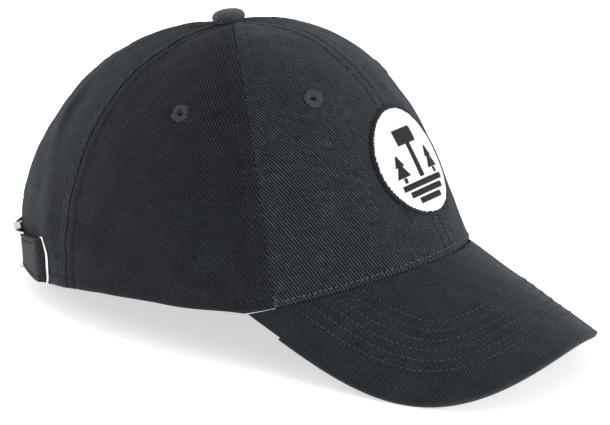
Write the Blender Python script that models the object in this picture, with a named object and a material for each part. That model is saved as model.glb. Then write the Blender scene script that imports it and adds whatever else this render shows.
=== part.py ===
"""Six-panel twill cap with a pre-curved peak, an arched back opening and a buckled strap.

Metres, +Z up. The cap lies on a table as it would by itself, on its strap and the peak's
two side edges, with the peak towards -Y. The crown is worked out in its own frame in
millimetres: forward, right (the wearer's right) and up from the hem.
"""
import math
from collections import namedtuple

import bmesh
import bpy
import numpy as np
from mathutils import Vector

MM = 0.001
CLOTH = 1.8
GAP = 0.34
REST_PITCH = math.radians(12.65)

# The head opening is two half ellipses that meet at the temples.
FRONT_REACH = 104.95
BACK_REACH = 108.14
HALF_WIDTH = 77.67
CROWN_HEIGHT = 124.0
APEX_FORWARD = 6.66
SIDE_SEAM = 60.29
REAR_SEAM = 120.08
TIP_HOLE = 4.3
SEAM_GROOVE = 0.55
SEAM_HALF = 1.7

# A crown section is one curve from hem to apex. Lean and rise shape its lower half, reach
# and drop its top, as shares of the plan radius and of the height.
Section = namedtuple("Section", "turn lean rise reach drop")
SECTIONS = (
    Section(0, 0.192, 0.459, 0.709, -0.019),
    Section(60, -0.030, 0.550, 0.674, -0.028),
    Section(120, -0.001, 0.341, 0.746, 0.026),
    Section(180, -0.185, 0.367, 0.743, -0.078),
)

# Soft folds and dents: where each is, how wide and tall, and how far it moves the cloth.
Fold = namedtuple("Fold", "turn tall slant turn_width tall_width depth")
FOLDS = (
    Fold(69.0, 0.24, -12.0, 4.6, 0.22, -2.3),
    Fold(80.0, 0.26, -8.0, 6.0, 0.20, 0.8),
    Fold(104.6, 0.205, 0.0, 6.5, 0.045, -2.0),
    Fold(109.0, 0.280, 0.0, 9.0, 0.035, 1.0),
    Fold(128.0, 0.20, 28.0, 3.6, 0.12, 1.1),
    Fold(146.0, 0.56, 52.0, 2.6, 0.10, 0.9),
    Fold(-72.0, 0.22, 10.0, 5.0, 0.20, -1.8),
    Fold(-102.0, 0.19, 0.0, 7.0, 0.05, -1.5),
    Fold(-133.0, 0.24, -20.0, 4.5, 0.13, 1.0),
    Fold(168.0, 0.50, 0.0, 7.0, 0.10, -1.2),
)

# The peak is a cylinder's surface that slopes down to the front. Its outline and the
# curve where it meets the crown are drawn flat, then bent. Its bend follows the crown's
# width, and its corners lie a little in front of the temples.
PEAK_SLOPE = math.radians(36.13)
PEAK_OVER = 1.34
PEAK_TEMPLE = 5.51
PEAK_ROOT = 17.33
PEAK_LENGTH = 68.35
PEAK_SIDE_POWER = 2.512
PEAK_TIP_POWER = 3.690
PEAK_THICK = 3.4
PEAK_BEND = HALF_WIDTH + PEAK_OVER
PEAK_CORNER = HALF_WIDTH - PEAK_TEMPLE
PEAK_HALF = PEAK_BEND * math.asin((PEAK_CORNER - 0.06) / PEAK_BEND)
HEM_SLOPE = -0.158
HEM_BACK_DROP = -15.59
HEM_TUCK = 3.5

ARCH_HALF = 37.6
ARCH_HEIGHT = 42.5

Eyelet = namedtuple("Eyelet", "name turn tall")
EYELETS = (
    Eyelet("front_right", 35.8, 0.510),
    Eyelet("side_right", 83.65, 0.5405),
    Eyelet("front_left", -38.5, 0.525),
    Eyelet("side_left", -83.65, 0.5405),
)
EYELET_RADIUS = 4.2
EYELET_HOLE = 1.5

BADGE_TALL = 0.2764
BADGE_RADIUS = 23.5
BADGE_EDGE = 26.0
BADGE_THICK = 0.9

STRAP_THICK = 1.4
STRAP_WIDTH = 19.8
BUCKLE_WIDTH = 16.4
# The strap's middle stands off the crown's outer face by low at its lower edge and by
# high at its upper one. Under zero it runs inside the crown. Its lower edge is lift over
# the hem, and the buckle gathers it to less than its full width.
Station = namedtuple("Station", "turn low high lift gather")
STRAP = (
    Station(117.0, -3.3, -3.3, 1.2, 0.0),
    Station(124.0, -3.3, -3.3, 1.1, 0.0),
    Station(130.0, -3.3, -3.3, 1.0, 0.0),
    Station(131.1, -3.0, -3.0, 1.0, 0.0),
    Station(133.5, 2.4, 2.4, 1.1, 0.0),
    Station(134.6, 2.8, 2.8, 1.3, 0.0),
    Station(138.0, 3.0, 2.7, 2.4, 1.0),
    Station(142.0, 3.3, 2.7, 4.2, 2.4),
    Station(145.0, 3.8, 2.9, 5.8, 3.3),
    Station(147.0, 4.0, 3.0, 6.8, 3.7),
    Station(161.0, 5.6, 2.6, 7.4, 3.8),
    Station(164.0, 6.8, 3.3, 7.4, 2.8),
    Station(168.0, 5.6, 2.1, 7.0, 1.4),
    Station(172.0, 3.8, 0.2, 5.8, 0.5),
    Station(176.0, 2.0, -1.3, 3.8, 0.0),
    Station(180.0, 0.9, -1.9, 1.8, 0.0),
    Station(184.0, 0.1, -1.5, 0.6, 0.0),
    Station(188.0, -0.3, -1.2, 0.4, 0.0),
    Station(193.0, -0.8, -1.4, 0.4, 0.0),
    Station(197.0, -1.0, -2.2, 0.4, 0.0),
    Station(200.5, -1.7, -3.3, 0.4, 0.0),
    Station(204.0, -3.1, -3.4, 0.4, 0.0),
    Station(208.0, -3.4, -3.4, 0.4, 0.0),
    Station(215.0, -3.4, -3.4, 0.4, 0.0),
    Station(222.0, -3.4, -3.4, 0.4, 0.0),
)
LOOP_WIDTH = 13.0
LOOP = (
    Station(160.2, -3.4, -3.8, 8.4, 0.0),
    Station(156.0, -3.5, -3.6, 7.6, 0.0),
    Station(150.0, -3.3, -3.3, 6.4, 0.0),
    Station(144.0, -3.3, -3.3, 5.4, 0.0),
)
FLAT_FROM = 183.0
FLAT_TO = 190.0
BUCKLE_ENDS = (147.0, 161.0)

SLOT_TURN = 132.3
SLOT_HALF = 2.9
SLOT_RISE = 10.9
SLOT_TALL = 10.4
SLOT_CORNER = 1.3
RIM_WIDTH = 3.0
RIM_TALL = 1.6
RIM_THICK = 0.8
RIM_STAND = 0.55

BUTTON_RADIUS = 7.4
BUTTON_HEIGHT = 6.0
BUTTON_STEM = 2.9


def bell(value):
    return np.exp(-0.5 * value * value)


def section_shape(turn):
    """The four section values at each turn, blended smoothly between the table's rows."""
    rows = np.radians([row.turn for row in SECTIONS])
    waves = np.array([[math.cos(k * angle) for k in range(4)] for angle in rows])
    values = np.array([row[1:] for row in SECTIONS])
    weights = np.linalg.solve(waves, values)
    here = np.stack([np.cos(k * turn) for k in range(4)], axis=-1)
    return here @ weights


def plan(turn):
    reach = np.where(np.cos(turn) > 0.0, FRONT_REACH, BACK_REACH)
    return reach * np.cos(turn), HALF_WIDTH * np.sin(turn)


def hem_height(forward, right):
    """The crown's lower edge: on the peak's surface in front, and the open hem behind."""
    side = np.minimum(np.abs(right), PEAK_CORNER)
    sag = PEAK_BEND - np.sqrt(PEAK_BEND ** 2 - side ** 2)
    over_peak = PEAK_ROOT - math.tan(PEAK_SLOPE) * (forward - FRONT_REACH) - sag / math.cos(PEAK_SLOPE)
    corner = FRONT_REACH * math.sqrt(1.0 - (PEAK_CORNER / HALF_WIDTH) ** 2)
    corner_sag = PEAK_BEND - math.sqrt(PEAK_BEND ** 2 - PEAK_CORNER ** 2)
    corner_height = PEAK_ROOT - math.tan(PEAK_SLOPE) * (corner - FRONT_REACH)
    corner_height = corner_height - corner_sag / math.cos(PEAK_SLOPE)
    behind = np.clip(-forward / BACK_REACH, 0.0, 1.0)
    open_hem = HEM_SLOPE * (forward - corner) + HEM_BACK_DROP * behind ** 2 + corner_height
    on_peak = (forward > 0.0) & (np.abs(right) < PEAK_CORNER)
    return np.where(on_peak, over_peak, open_hem)


def smooth_crown(turn, tall):
    """The crown without folds. Tall runs from 0 at the hem to 1 at the apex."""
    turn = np.asarray(turn, dtype=float)
    tall = np.asarray(tall, dtype=float)
    lean, rise, reach, drop = np.moveaxis(section_shape(turn), -1, 0)
    forward, right = plan(turn)
    hem = hem_height(forward, right)
    height = CROWN_HEIGHT - hem
    t = np.clip(tall, 0.0, 1.0)
    s = 1.0 - t
    share = s ** 3 + 3.0 * s * s * t * (1.0 - lean) + 3.0 * s * t * t * reach
    up = s ** 3 * hem + 3.0 * s * s * t * (hem + rise * height)
    up = up + 3.0 * s * t * t * (CROWN_HEIGHT - drop * height) + t ** 3 * CROWN_HEIGHT
    up = up + 100.0 * np.minimum(tall, 0.0)
    return np.stack([APEX_FORWARD + (forward - APEX_FORWARD) * share, right * share, up], axis=-1)


def crown_normal(turn, tall):
    step = 0.004
    high = np.clip(np.asarray(tall, dtype=float), 0.006, 0.985)
    along = smooth_crown(turn + step, high) - smooth_crown(turn - step, high)
    upward = smooth_crown(turn, high + step) - smooth_crown(turn, high - step)
    normal = np.cross(upward, along)
    normal = normal / np.linalg.norm(normal, axis=-1, keepdims=True)
    outward = smooth_crown(turn, high)[..., 0] * normal[..., 0]
    outward = outward + smooth_crown(turn, high)[..., 1] * normal[..., 1] + 200.0 * normal[..., 2]
    return normal * np.sign(outward)[..., None]


def fold_height(turn, tall):
    total = np.zeros(np.broadcast(turn, tall).shape)
    degrees = np.degrees(turn)
    for fold in FOLDS:
        middle = fold.turn + fold.slant * (tall - fold.tall)
        away = (degrees - middle + 180.0) % 360.0 - 180.0
        spot = bell(away / fold.turn_width) * bell((tall - fold.tall) / fold.tall_width)
        total = total + fold.depth * spot
    return total


def crown(turn, tall, stand=0.0):
    """A point that stands off the crown's outer face, folds included."""
    turn, tall = np.broadcast_arrays(np.asarray(turn, dtype=float), np.asarray(tall, dtype=float))
    lift = fold_height(turn, tall) + stand
    return smooth_crown(turn, tall) + crown_normal(turn, tall) * lift[..., None]


def tall_at(turn, rise):
    """How far up the section a point lies that is rise millimetres over the hem."""
    low = np.zeros(np.shape(turn))
    high = np.full(np.shape(turn), 0.6)
    hem = smooth_crown(turn, 0.0)[..., 2]
    for _ in range(40):
        middle = 0.5 * (low + high)
        under = smooth_crown(turn, middle)[..., 2] - hem < rise
        low = np.where(under, middle, low)
        high = np.where(under, high, middle)
    return np.where(np.asarray(rise) <= 0.0, 0.0, 0.5 * (low + high))


def tip_tall(turn):
    """Where the section reaches the small hole under the top button."""
    low = np.full(np.shape(turn), 0.7)
    high = np.ones(np.shape(turn))
    for _ in range(40):
        middle = 0.5 * (low + high)
        point = smooth_crown(turn, middle)
        wide = np.hypot(point[..., 0] - APEX_FORWARD, point[..., 1]) > TIP_HOLE
        low = np.where(wide, middle, low)
        high = np.where(wide, high, middle)
    return low


def new_object(name, mesh, material):
    mesh.materials.append(material)
    thing = bpy.data.objects.new(name, mesh)
    bpy.context.scene.collection.objects.link(thing)
    thing.parent = FRAME
    return thing


def mesh_from(name, points, faces, smooth_angle=35.0):
    """A closed mesh from crown-frame points in millimetres, faces turned outwards."""
    local = [(-p[1] * MM, -p[0] * MM, p[2] * MM) for p in points]
    mesh = bpy.data.meshes.new(name)
    mesh.from_pydata(local, [], faces)
    work = bmesh.new()
    work.from_mesh(mesh)
    bmesh.ops.triangulate(work, faces=work.faces)
    bmesh.ops.recalc_face_normals(work, faces=work.faces)
    if work.calc_volume(signed=True) < 0.0:
        bmesh.ops.reverse_faces(work, faces=work.faces)
    work.to_mesh(mesh)
    work.free()
    mesh.shade_smooth()
    mesh.set_sharp_from_angle(angle=math.radians(smooth_angle))
    return mesh


def two_sided(outer, inner, closed=False):
    """Points and faces of a sheet with an outer and an inner grid and walls round its edges."""
    rows, columns = outer.shape[:2]
    points = list(outer.reshape(-1, 3)) + list(inner.reshape(-1, 3))
    shift = rows * columns
    faces = []
    spans = columns if closed else columns - 1
    for row in range(rows - 1):
        for column in range(spans):
            after = (column + 1) % columns
            a = row * columns + column
            b = row * columns + after
            c = (row + 1) * columns + after
            d = (row + 1) * columns + column
            faces.append((a, b, c, d))
            faces.append((a + shift, d + shift, c + shift, b + shift))
    for column in range(spans):
        after = (column + 1) % columns
        for row in (0, rows - 1):
            a = row * columns + column
            b = row * columns + after
            faces.append((a, b, b + shift, a + shift))
    if not closed:
        for row in range(rows - 1):
            for column in (0, columns - 1):
                a = row * columns + column
                b = (row + 1) * columns + column
                faces.append((a, b, b + shift, a + shift))
    return points, faces


def arch_rise(turn):
    """The height of the back opening's edge over the hem, 0 outside the opening."""
    away = np.abs((np.degrees(turn) % 360.0) - 180.0)
    share = np.clip(away / ARCH_TURN, 0.0, 1.0)
    return ARCH_HEIGHT * np.sqrt(1.0 - share * share)


def arch_half_turn():
    """The angle over which the back opening's half width runs along the hem."""
    angles = np.radians(np.linspace(180.0, 120.0, 601))
    forward, right = plan(angles)
    along = np.concatenate([[0.0], np.cumsum(np.hypot(np.diff(forward), np.diff(right)))])
    return 180.0 - float(np.interp(ARCH_HALF, along, np.degrees(angles)))


def panel(name, start, end, columns, material, rows=11):
    """One gore. Columns are the turns between its two seams, in degrees."""
    inner_turns = np.radians(np.array(columns, dtype=float))
    start = math.radians(start)
    end = math.radians(end)
    turns = np.concatenate([[start, start], inner_turns, [end, end]])
    _, right = plan(turns)
    forward, _ = plan(turns)
    taper = np.clip(1.0 - (np.abs(right) / PEAK_CORNER) ** 6, 0.0, 1.0)
    tuck = np.where(forward > 0.0, HEM_TUCK * taper, 0.0)
    low = tall_at(turns, arch_rise(turns)) - tuck / 100.0
    top = tip_tall(turns)
    low_next = low + HEM_TUCK / 100.0
    shares = np.linspace(0.0, 1.0, rows)
    grid = [low] + [low_next + share * (top - low_next) for share in shares]
    tall = np.stack(grid)
    turn = np.broadcast_to(turns, tall.shape).copy()
    step = 0.002
    for column, side in ((0, 1.0), (len(turns) - 1, -1.0)):
        at = turn[:, column]
        reach = smooth_crown(at + step, tall[:, column]) - smooth_crown(at - step, tall[:, column])
        per_turn = np.linalg.norm(reach, axis=-1) / (2.0 * step)
        edge = at + side * 0.5 * GAP / per_turn
        near = column + int(side)
        beyond = column + 2 * int(side)
        full = np.minimum(SEAM_HALF / per_turn, 0.45 * np.abs(turn[:, beyond] - edge))
        turn[:, column] = edge
        turn[:, near] = edge + side * full
    outer = crown(turn, tall)
    normal = crown_normal(turn, tall)
    inner = outer - CLOTH * normal
    groove = np.zeros(turn.shape)
    groove[:, 0] = SEAM_GROOVE
    groove[:, -1] = SEAM_GROOVE
    outer = outer - groove[..., None] * normal
    points, faces = two_sided(outer, inner)
    return new_object(name, mesh_from(name, points, faces), material)


def peak_surface(x, y, depth):
    """The bent peak at flat position x, y, and depth under its top face."""
    bend = PEAK_BEND - depth
    side = bend * np.sin(x / PEAK_BEND)
    down = bend * np.cos(x / PEAK_BEND) - PEAK_BEND
    forward = FRONT_REACH + y * math.cos(PEAK_SLOPE) + down * math.sin(PEAK_SLOPE)
    up = PEAK_ROOT - y * math.sin(PEAK_SLOPE) + down * math.cos(PEAK_SLOPE)
    return np.stack([forward, side, up], axis=-1)


def peak_root(x, depth, gap):
    """Flat y where the peak's sheet at this depth meets the crown's wall, less a gap."""
    bend = PEAK_BEND - depth
    side = bend * np.sin(x / PEAK_BEND)
    down = bend * np.cos(x / PEAK_BEND) - PEAK_BEND
    inside = np.clip(1.0 - (side / (HALF_WIDTH + gap)) ** 2, 0.0, 1.0)
    wall = (FRONT_REACH + gap) * np.sqrt(inside)
    return (wall - FRONT_REACH - down * math.sin(PEAK_SLOPE)) / math.cos(PEAK_SLOPE)


def peak_edge(angle):
    """The peak's outline at each angle, from its right corner round to its left one."""
    root = float(peak_root(np.array(PEAK_HALF), 0.0, 0.0))
    wide = np.sin(angle)
    x = PEAK_HALF * np.sign(wide) * np.abs(wide) ** (2.0 / PEAK_SIDE_POWER)
    y = root + (PEAK_LENGTH - root) * np.abs(np.cos(angle)) ** (2.0 / PEAK_TIP_POWER)
    return x, y


def build_peak(material, spans=30, rows=7):
    limit = math.radians(87.0)
    angle = np.linspace(-limit, limit, spans + 1)
    edge_x, edge_y = peak_edge(angle)
    root_x = (PEAK_HALF - 1.6) * np.sin(angle) / math.sin(limit)
    shares = 1.0 - (1.0 - np.linspace(0.0, 1.0, rows)) ** 1.15
    layers = []
    round_in = PEAK_THICK * 0.30
    for depth in (0.0, PEAK_THICK):
        root_y = peak_root(root_x, depth, GAP)
        grid = []
        for share in shares:
            x = root_x + share * (edge_x - root_x)
            y = root_y + share * (edge_y - root_y)
            grid.append((x, y))
        layers.append(grid)
    centre_x = edge_x * 0.0
    centre_y = 0.35 * edge_y
    length = np.hypot(edge_x - centre_x, edge_y - centre_y)
    inward_x = (centre_x - edge_x) / length
    inward_y = (centre_y - edge_y) / length
    top = [peak_surface(x, y, 0.0) for x, y in layers[0][:-1]]
    top.append(peak_surface(edge_x + inward_x * round_in, edge_y + inward_y * round_in, 0.0))
    top.append(peak_surface(edge_x, edge_y, 0.32 * PEAK_THICK))
    under = [peak_surface(x, y, PEAK_THICK) for x, y in layers[1][:-1]]
    under.append(peak_surface(edge_x + inward_x * round_in, edge_y + inward_y * round_in, PEAK_THICK))
    under.append(peak_surface(edge_x, edge_y, 0.68 * PEAK_THICK))
    points, faces = two_sided(np.stack(top), np.stack(under))
    return new_object("peak", mesh_from("peak", points, faces, 50.0), material)


def turned(origin, axis, profile, sides, across=None):
    """Points and faces of a closed ring or knob: profile pairs are radius and height."""
    axis = np.array(axis) / np.linalg.norm(axis)
    seed = np.array([0.0, 0.0, 1.0]) if abs(axis[2]) < 0.9 else np.array([1.0, 0.0, 0.0])
    if across is not None:
        seed = np.array(across)
    first = np.cross(seed, axis)
    first = first / np.linalg.norm(first)
    second = np.cross(axis, first)
    points = []
    faces = []
    count = len(profile)
    for side in range(sides):
        angle = 2.0 * math.pi * side / sides
        way = math.cos(angle) * first + math.sin(angle) * second
        for radius, height in profile:
            points.append(origin + radius * way + height * axis)
    for side in range(sides):
        after = (side + 1) % sides
        for step in range(count - 1):
            a = side * count + step
            b = side * count + step + 1
            c = after * count + step + 1
            d = after * count + step
            faces.append((a, b, c, d))
    return points, faces


def ring(name, origin, axis, profile, sides, material):
    """A ring whose closed profile never meets its axis."""
    points, faces = turned(origin, axis, list(profile) + [profile[0]], sides)
    count = len(profile) + 1
    keep = {}
    for side in range(sides):
        keep[side * count + count - 1] = side * count
    faces = [tuple(keep.get(v, v) for v in face) for face in faces]
    used = sorted({v for face in faces for v in face})
    place = {v: i for i, v in enumerate(used)}
    points = [points[v] for v in used]
    faces = [tuple(place[v] for v in face) for face in faces]
    return new_object(name, mesh_from(name, points, faces, 60.0), material)


def knob(name, origin, axis, profile, sides, material):
    """A solid of revolution whose profile starts above and ends below on its axis."""
    middle = profile[1:-1]
    points, faces = turned(origin, axis, middle, sides)
    unit = np.array(axis) / np.linalg.norm(axis)
    count = len(middle)
    points.append(origin + profile[0][1] * unit)
    points.append(origin + profile[-1][1] * unit)
    top = len(points) - 2
    base = len(points) - 1
    for side in range(sides):
        after = (side + 1) % sides
        faces.append((top, side * count, after * count))
        faces.append((base, after * count + count - 1, side * count + count - 1))
    return new_object(name, mesh_from(name, points, faces, 50.0), material)


def on_crown(u, w):
    """Turn and tall of the crown points under a flat disc laid at the badge's centre."""
    origin = smooth_crown(0.0, BADGE_TALL)
    normal = crown_normal(np.array(0.0), np.array(BADGE_TALL))
    level = np.array([0.0, 1.0, 0.0])
    upward = np.cross(normal, level)
    upward = upward * np.sign(upward[2])
    target = origin + u[..., None] * level + w[..., None] * upward
    turn = u / 100.0
    tall = BADGE_TALL + w / 160.0
    step = 0.001
    for _ in range(25):
        here = smooth_crown(turn, tall) - target
        by_turn = (smooth_crown(turn + step, tall) - smooth_crown(turn - step, tall)) / (2 * step)
        by_tall = (smooth_crown(turn, tall + step) - smooth_crown(turn, tall - step)) / (2 * step)
        a = np.sum(by_turn * level, axis=-1)
        b = np.sum(by_tall * level, axis=-1)
        c = np.sum(by_turn * upward, axis=-1)
        d = np.sum(by_tall * upward, axis=-1)
        e = np.sum(here * level, axis=-1)
        f = np.sum(here * upward, axis=-1)
        whole = a * d - b * c
        turn = turn - (d * e - b * f) / whole
        tall = tall - (a * f - c * e) / whole
    return turn, tall


def crown_ring(name, radii, low, high, sides, material, closed_middle=False):
    """A thin disc or ring that follows the front of the crown."""
    angles = np.radians(np.arange(sides) * 360.0 / sides)
    radii = np.array(radii)
    u = radii[:, None] * np.cos(angles)[None, :]
    w = radii[:, None] * np.sin(angles)[None, :]
    turn, tall = on_crown(u, w)
    normal = crown_normal(turn, tall)
    face = smooth_crown(turn, tall)
    outer = face + np.array(high)[:, None, None] * normal
    inner = face + low * normal
    points, faces = two_sided(outer, inner, closed=True)
    if closed_middle:
        shift = len(radii) * sides
        inmost = set(range(sides)) | set(range(shift, shift + sides))
        faces = [f for f in faces if not set(f) <= inmost]
        turn, tall = on_crown(np.array([0.0]), np.array([0.0]))
        middle = smooth_crown(turn, tall)[0]
        normal = crown_normal(turn, tall)[0]
        points.append(middle + high[0] * normal)
        points.append(middle + low * normal)
        top = len(points) - 2
        base = len(points) - 1
        for side in range(sides):
            after = (side + 1) % sides
            faces.append((top, side, after))
            faces.append((base, after + shift, side + shift))
    return new_object(name, mesh_from(name, points, faces, 50.0), material)


def floor_height(forward):
    """Height in the crown's frame of the table the cap rests on, under this point."""
    return (REST_LEVEL - forward * math.sin(REST_PITCH)) / math.cos(REST_PITCH)


def band_pair(row, full=STRAP_WIDTH):
    """A band's lower and upper middle points at one station."""
    turn = np.radians(np.array([row.turn]))
    width = full - row.gather
    foot = smooth_crown(turn, 0.0) + row.low * crown_normal(turn, np.array([0.0]))
    foot[..., 2] = smooth_crown(turn, 0.0)[..., 2] + row.lift
    tall = tall_at(turn, width + row.lift)
    head = smooth_crown(turn, tall) + row.high * crown_normal(turn, tall)
    head[..., 2] = foot[..., 2] + width
    return foot[0], head[0]


def ribbon(name, pairs, thick, material, flats=None):
    """A band through pairs of lower and upper points, with one flat side each way."""
    lower = np.array([p[0] for p in pairs])
    upper = np.array([p[1] for p in pairs])
    steps = np.diff(0.5 * (lower + upper), axis=0)
    steps = steps / np.linalg.norm(steps, axis=1, keepdims=True)
    rows = []
    count = len(pairs)
    for index in range(count):
        before = steps[max(index - 1, 0)]
        after = steps[min(index, count - 2)]
        way = before + after
        way = way / np.linalg.norm(way)
        stretch = 1.0 / max(0.6, float(np.dot(way, after)))
        rise = upper[index] - lower[index]
        normal = np.cross(way, rise)
        normal = normal / np.linalg.norm(normal)
        half = 0.5 * thick * stretch * normal
        rows.append([lower[index] + half, upper[index] + half, upper[index] - half, lower[index] - half])
    grid = np.array(rows)
    if flats is not None:
        for index in flats:
            for corner in (0, 3):
                grid[index, corner, 2] = floor_height(grid[index, corner, 0])
    points = list(grid.reshape(-1, 3))
    faces = []
    for index in range(count - 1):
        for corner in range(4):
            after = (corner + 1) % 4
            a = index * 4 + corner
            b = index * 4 + after
            faces.append((a, b, b + 4, a + 4))
    faces.append((0, 1, 2, 3))
    last = (count - 1) * 4
    faces.append((last + 3, last + 2, last + 1, last))
    return new_object(name, mesh_from(name, points, faces, 40.0), material)


def strap_pairs():
    return [band_pair(row) for row in STRAP]


def buckle_axes():
    """Centre, along, outward and upward directions of the buckle on the strap."""
    first, last = [band_pair(row) for row in STRAP if row.turn in BUCKLE_ENDS]
    right_end = 0.5 * (first[0] + first[1])
    left_end = 0.5 * (last[0] + last[1])
    centre = 0.5 * (right_end + left_end)
    along = right_end - left_end
    along = along / np.linalg.norm(along)
    upward = (first[1] - first[0]) + (last[1] - last[0])
    upward = upward - np.dot(upward, along) * along
    upward = upward / np.linalg.norm(upward)
    outward = np.cross(upward, along)
    if outward[0] > 0.0:
        outward = -outward
    return centre, along, outward, upward


def block_solid(name, cuts, filled, axes, material):
    """A solid of boxes between cut planes, joined where filled boxes meet."""
    centre, along, outward, upward = axes
    places = {}
    points = []
    faces = []

    def corner(i, j, k):
        if (i, j, k) not in places:
            places[(i, j, k)] = len(points)
            points.append(centre + cuts[0][i] * along + cuts[1][j] * outward + cuts[2][k] * upward)
        return places[(i, j, k)]

    def solid(cell):
        for at, planes in zip(cell, cuts):
            if not 0 <= at < len(planes) - 1:
                return False
        return filled(*[0.5 * (planes[at] + planes[at + 1]) for at, planes in zip(cell, cuts)])

    counts = [len(planes) - 1 for planes in cuts]
    for cell in np.ndindex(*counts):
        if not solid(cell):
            continue
        for axis in range(3):
            for side in (0, 1):
                beyond = list(cell)
                beyond[axis] += 2 * side - 1
                if solid(beyond):
                    continue
                one, two = [a for a in range(3) if a != axis]
                face = []
                for step_one, step_two in ((0, 0), (1, 0), (1, 1), (0, 1)):
                    at = list(cell)
                    at[axis] += side
                    at[one] += step_one
                    at[two] += step_two
                    face.append(corner(*at))
                faces.append(tuple(face))
    return new_object(name, mesh_from(name, points, faces, 30.0), material)


def build_buckle(metal):
    """A clamp buckle: a frame with cheeks above and below the strap, and a lever plate."""
    axes = buckle_axes()
    half = 0.5 * BUCKLE_WIDTH

    def frame_filled(x, y, z):
        rail = abs(z) > half + 0.3
        if x > -9.0:
            return rail and y > -1.0
        if x > -10.4:
            return rail
        return y < -1.0 and (rail or y < -2.5)

    frame_cuts = (
        (-12.4, -10.4, -9.0, 8.0),
        (-3.4, -2.5, -1.0, 2.0),
        (-half - 1.1, -half - 0.3, half + 0.3, half + 1.1),
    )
    block_solid("buckle_frame", frame_cuts, frame_filled, axes, metal)

    def lever_filled(x, y, z):
        if y > 1.5:
            return True
        return 2.8 < x < 4.6

    lever_cuts = ((-8.0, 2.8, 4.6, 10.5), (1.05, 1.5, 2.3), (-half, half))
    block_solid("buckle_lever", lever_cuts, lever_filled, axes, metal)


def build_loop(cloth):
    """The short doubled loop that ties the buckle's bar to the right rear panel."""
    centre, along, outward, upward = buckle_axes()
    half = 0.5 * LOOP_WIDTH
    Bend = namedtuple("Bend", "along out")
    bends = (
        Bend(-9.2, -1.62),
        Bend(-10.8, -1.60),
        Bend(-12.7, -1.62),
        Bend(-13.6, -2.75),
        Bend(-13.3, -4.25),
        Bend(-11.9, -5.0),
    )
    pairs = []
    for bend in bends:
        middle = centre + bend.along * along + bend.out * outward
        pairs.append((middle - half * upward, middle + half * upward))
    for row in LOOP:
        pairs.append(band_pair(row, LOOP_WIDTH))
    ribbon("buckle_loop", pairs, 1.1, cloth)


def slot_axes():
    turn = np.array([math.radians(SLOT_TURN)])
    tall = tall_at(turn, SLOT_RISE)
    normal = crown_normal(turn, tall)[0]
    centre = crown(turn, tall)[0]
    ahead = smooth_crown(turn - 0.01, tall)[0] - smooth_crown(turn + 0.01, tall)[0]
    ahead = ahead - np.dot(ahead, normal) * normal
    ahead = ahead / np.linalg.norm(ahead)
    upward = np.cross(normal, ahead)
    upward = upward * np.sign(upward[2])
    return centre, ahead, normal, upward


def slot_outline(half, tall, corner, steps=3):
    """A tall slot with rounded corners, as pairs along and up."""
    outline = []
    for quarter, (side, end) in enumerate(((1, 1), (-1, 1), (-1, -1), (1, -1))):
        for step in range(steps + 1):
            angle = 0.5 * math.pi * (quarter + step / steps)
            along = side * (half - corner) + corner * math.cos(angle)
            up = end * (tall - corner) + corner * math.sin(angle)
            outline.append((along, up))
    return outline


def build_slot_rim(metal):
    """A flat metal rim round the slot, bent to the cloth it lies on."""
    centre, ahead, normal, upward = slot_axes()
    widths = (0.0, 0.6, RIM_WIDTH - 0.7, RIM_WIDTH)
    heights = (0.5, RIM_THICK, RIM_THICK, 0.45)
    outer = []
    inner = []
    for width, height in zip(widths, heights):
        ring_out = []
        ring_in = []
        above = RIM_TALL * width / RIM_WIDTH
        corner = SLOT_CORNER + 0.8 * width
        for along, up in slot_outline(SLOT_HALF + width, SLOT_TALL + above, corner):
            flat = centre + along * ahead + up * upward
            turn, tall = nearest_on_crown(flat, normal)
            way = crown_normal(turn, tall)[0]
            base = crown(turn, tall)[0]
            ring_out.append(base + (RIM_STAND + height) * way)
            ring_in.append(base + RIM_STAND * way)
        outer.append(ring_out)
        inner.append(ring_in)
    points, faces = two_sided(np.array(outer), np.array(inner), closed=True)
    return new_object("slot_rim", mesh_from("slot_rim", points, faces, 40.0), metal)


def nearest_on_crown(point, normal):
    """Turn and tall of the crown point in line with a point, looking along a normal."""
    turn = np.array([math.atan2(point[1] / HALF_WIDTH, point[0] / BACK_REACH)])
    tall = np.array([0.12])
    step = 0.001
    for _ in range(30):
        here = smooth_crown(turn, tall)[0]
        by_turn = (smooth_crown(turn + step, tall) - smooth_crown(turn - step, tall))[0] / (2 * step)
        if tall[0] < 0.0:
            by_tall = np.array([0.0, 0.0, 100.0])
        else:
            by_tall = (smooth_crown(turn, tall + step) - smooth_crown(turn, tall))[0] / step
        matrix = np.stack([by_turn, by_tall, -normal], axis=1)
        change = np.linalg.solve(matrix, point - here)
        turn = turn + change[0]
        tall = tall + change[1]
    return turn, tall


def cutter(name, points, faces):
    thing = new_object(name, mesh_from(name, points, faces), CLOTH_BLACK)
    thing.hide_render = True
    thing.display_type = "WIRE"
    return thing


def cut(target, tool):
    step = target.modifiers.new("cut_" + tool.name, "BOOLEAN")
    step.operation = "DIFFERENCE"
    step.solver = "EXACT"
    step.object = tool


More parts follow.
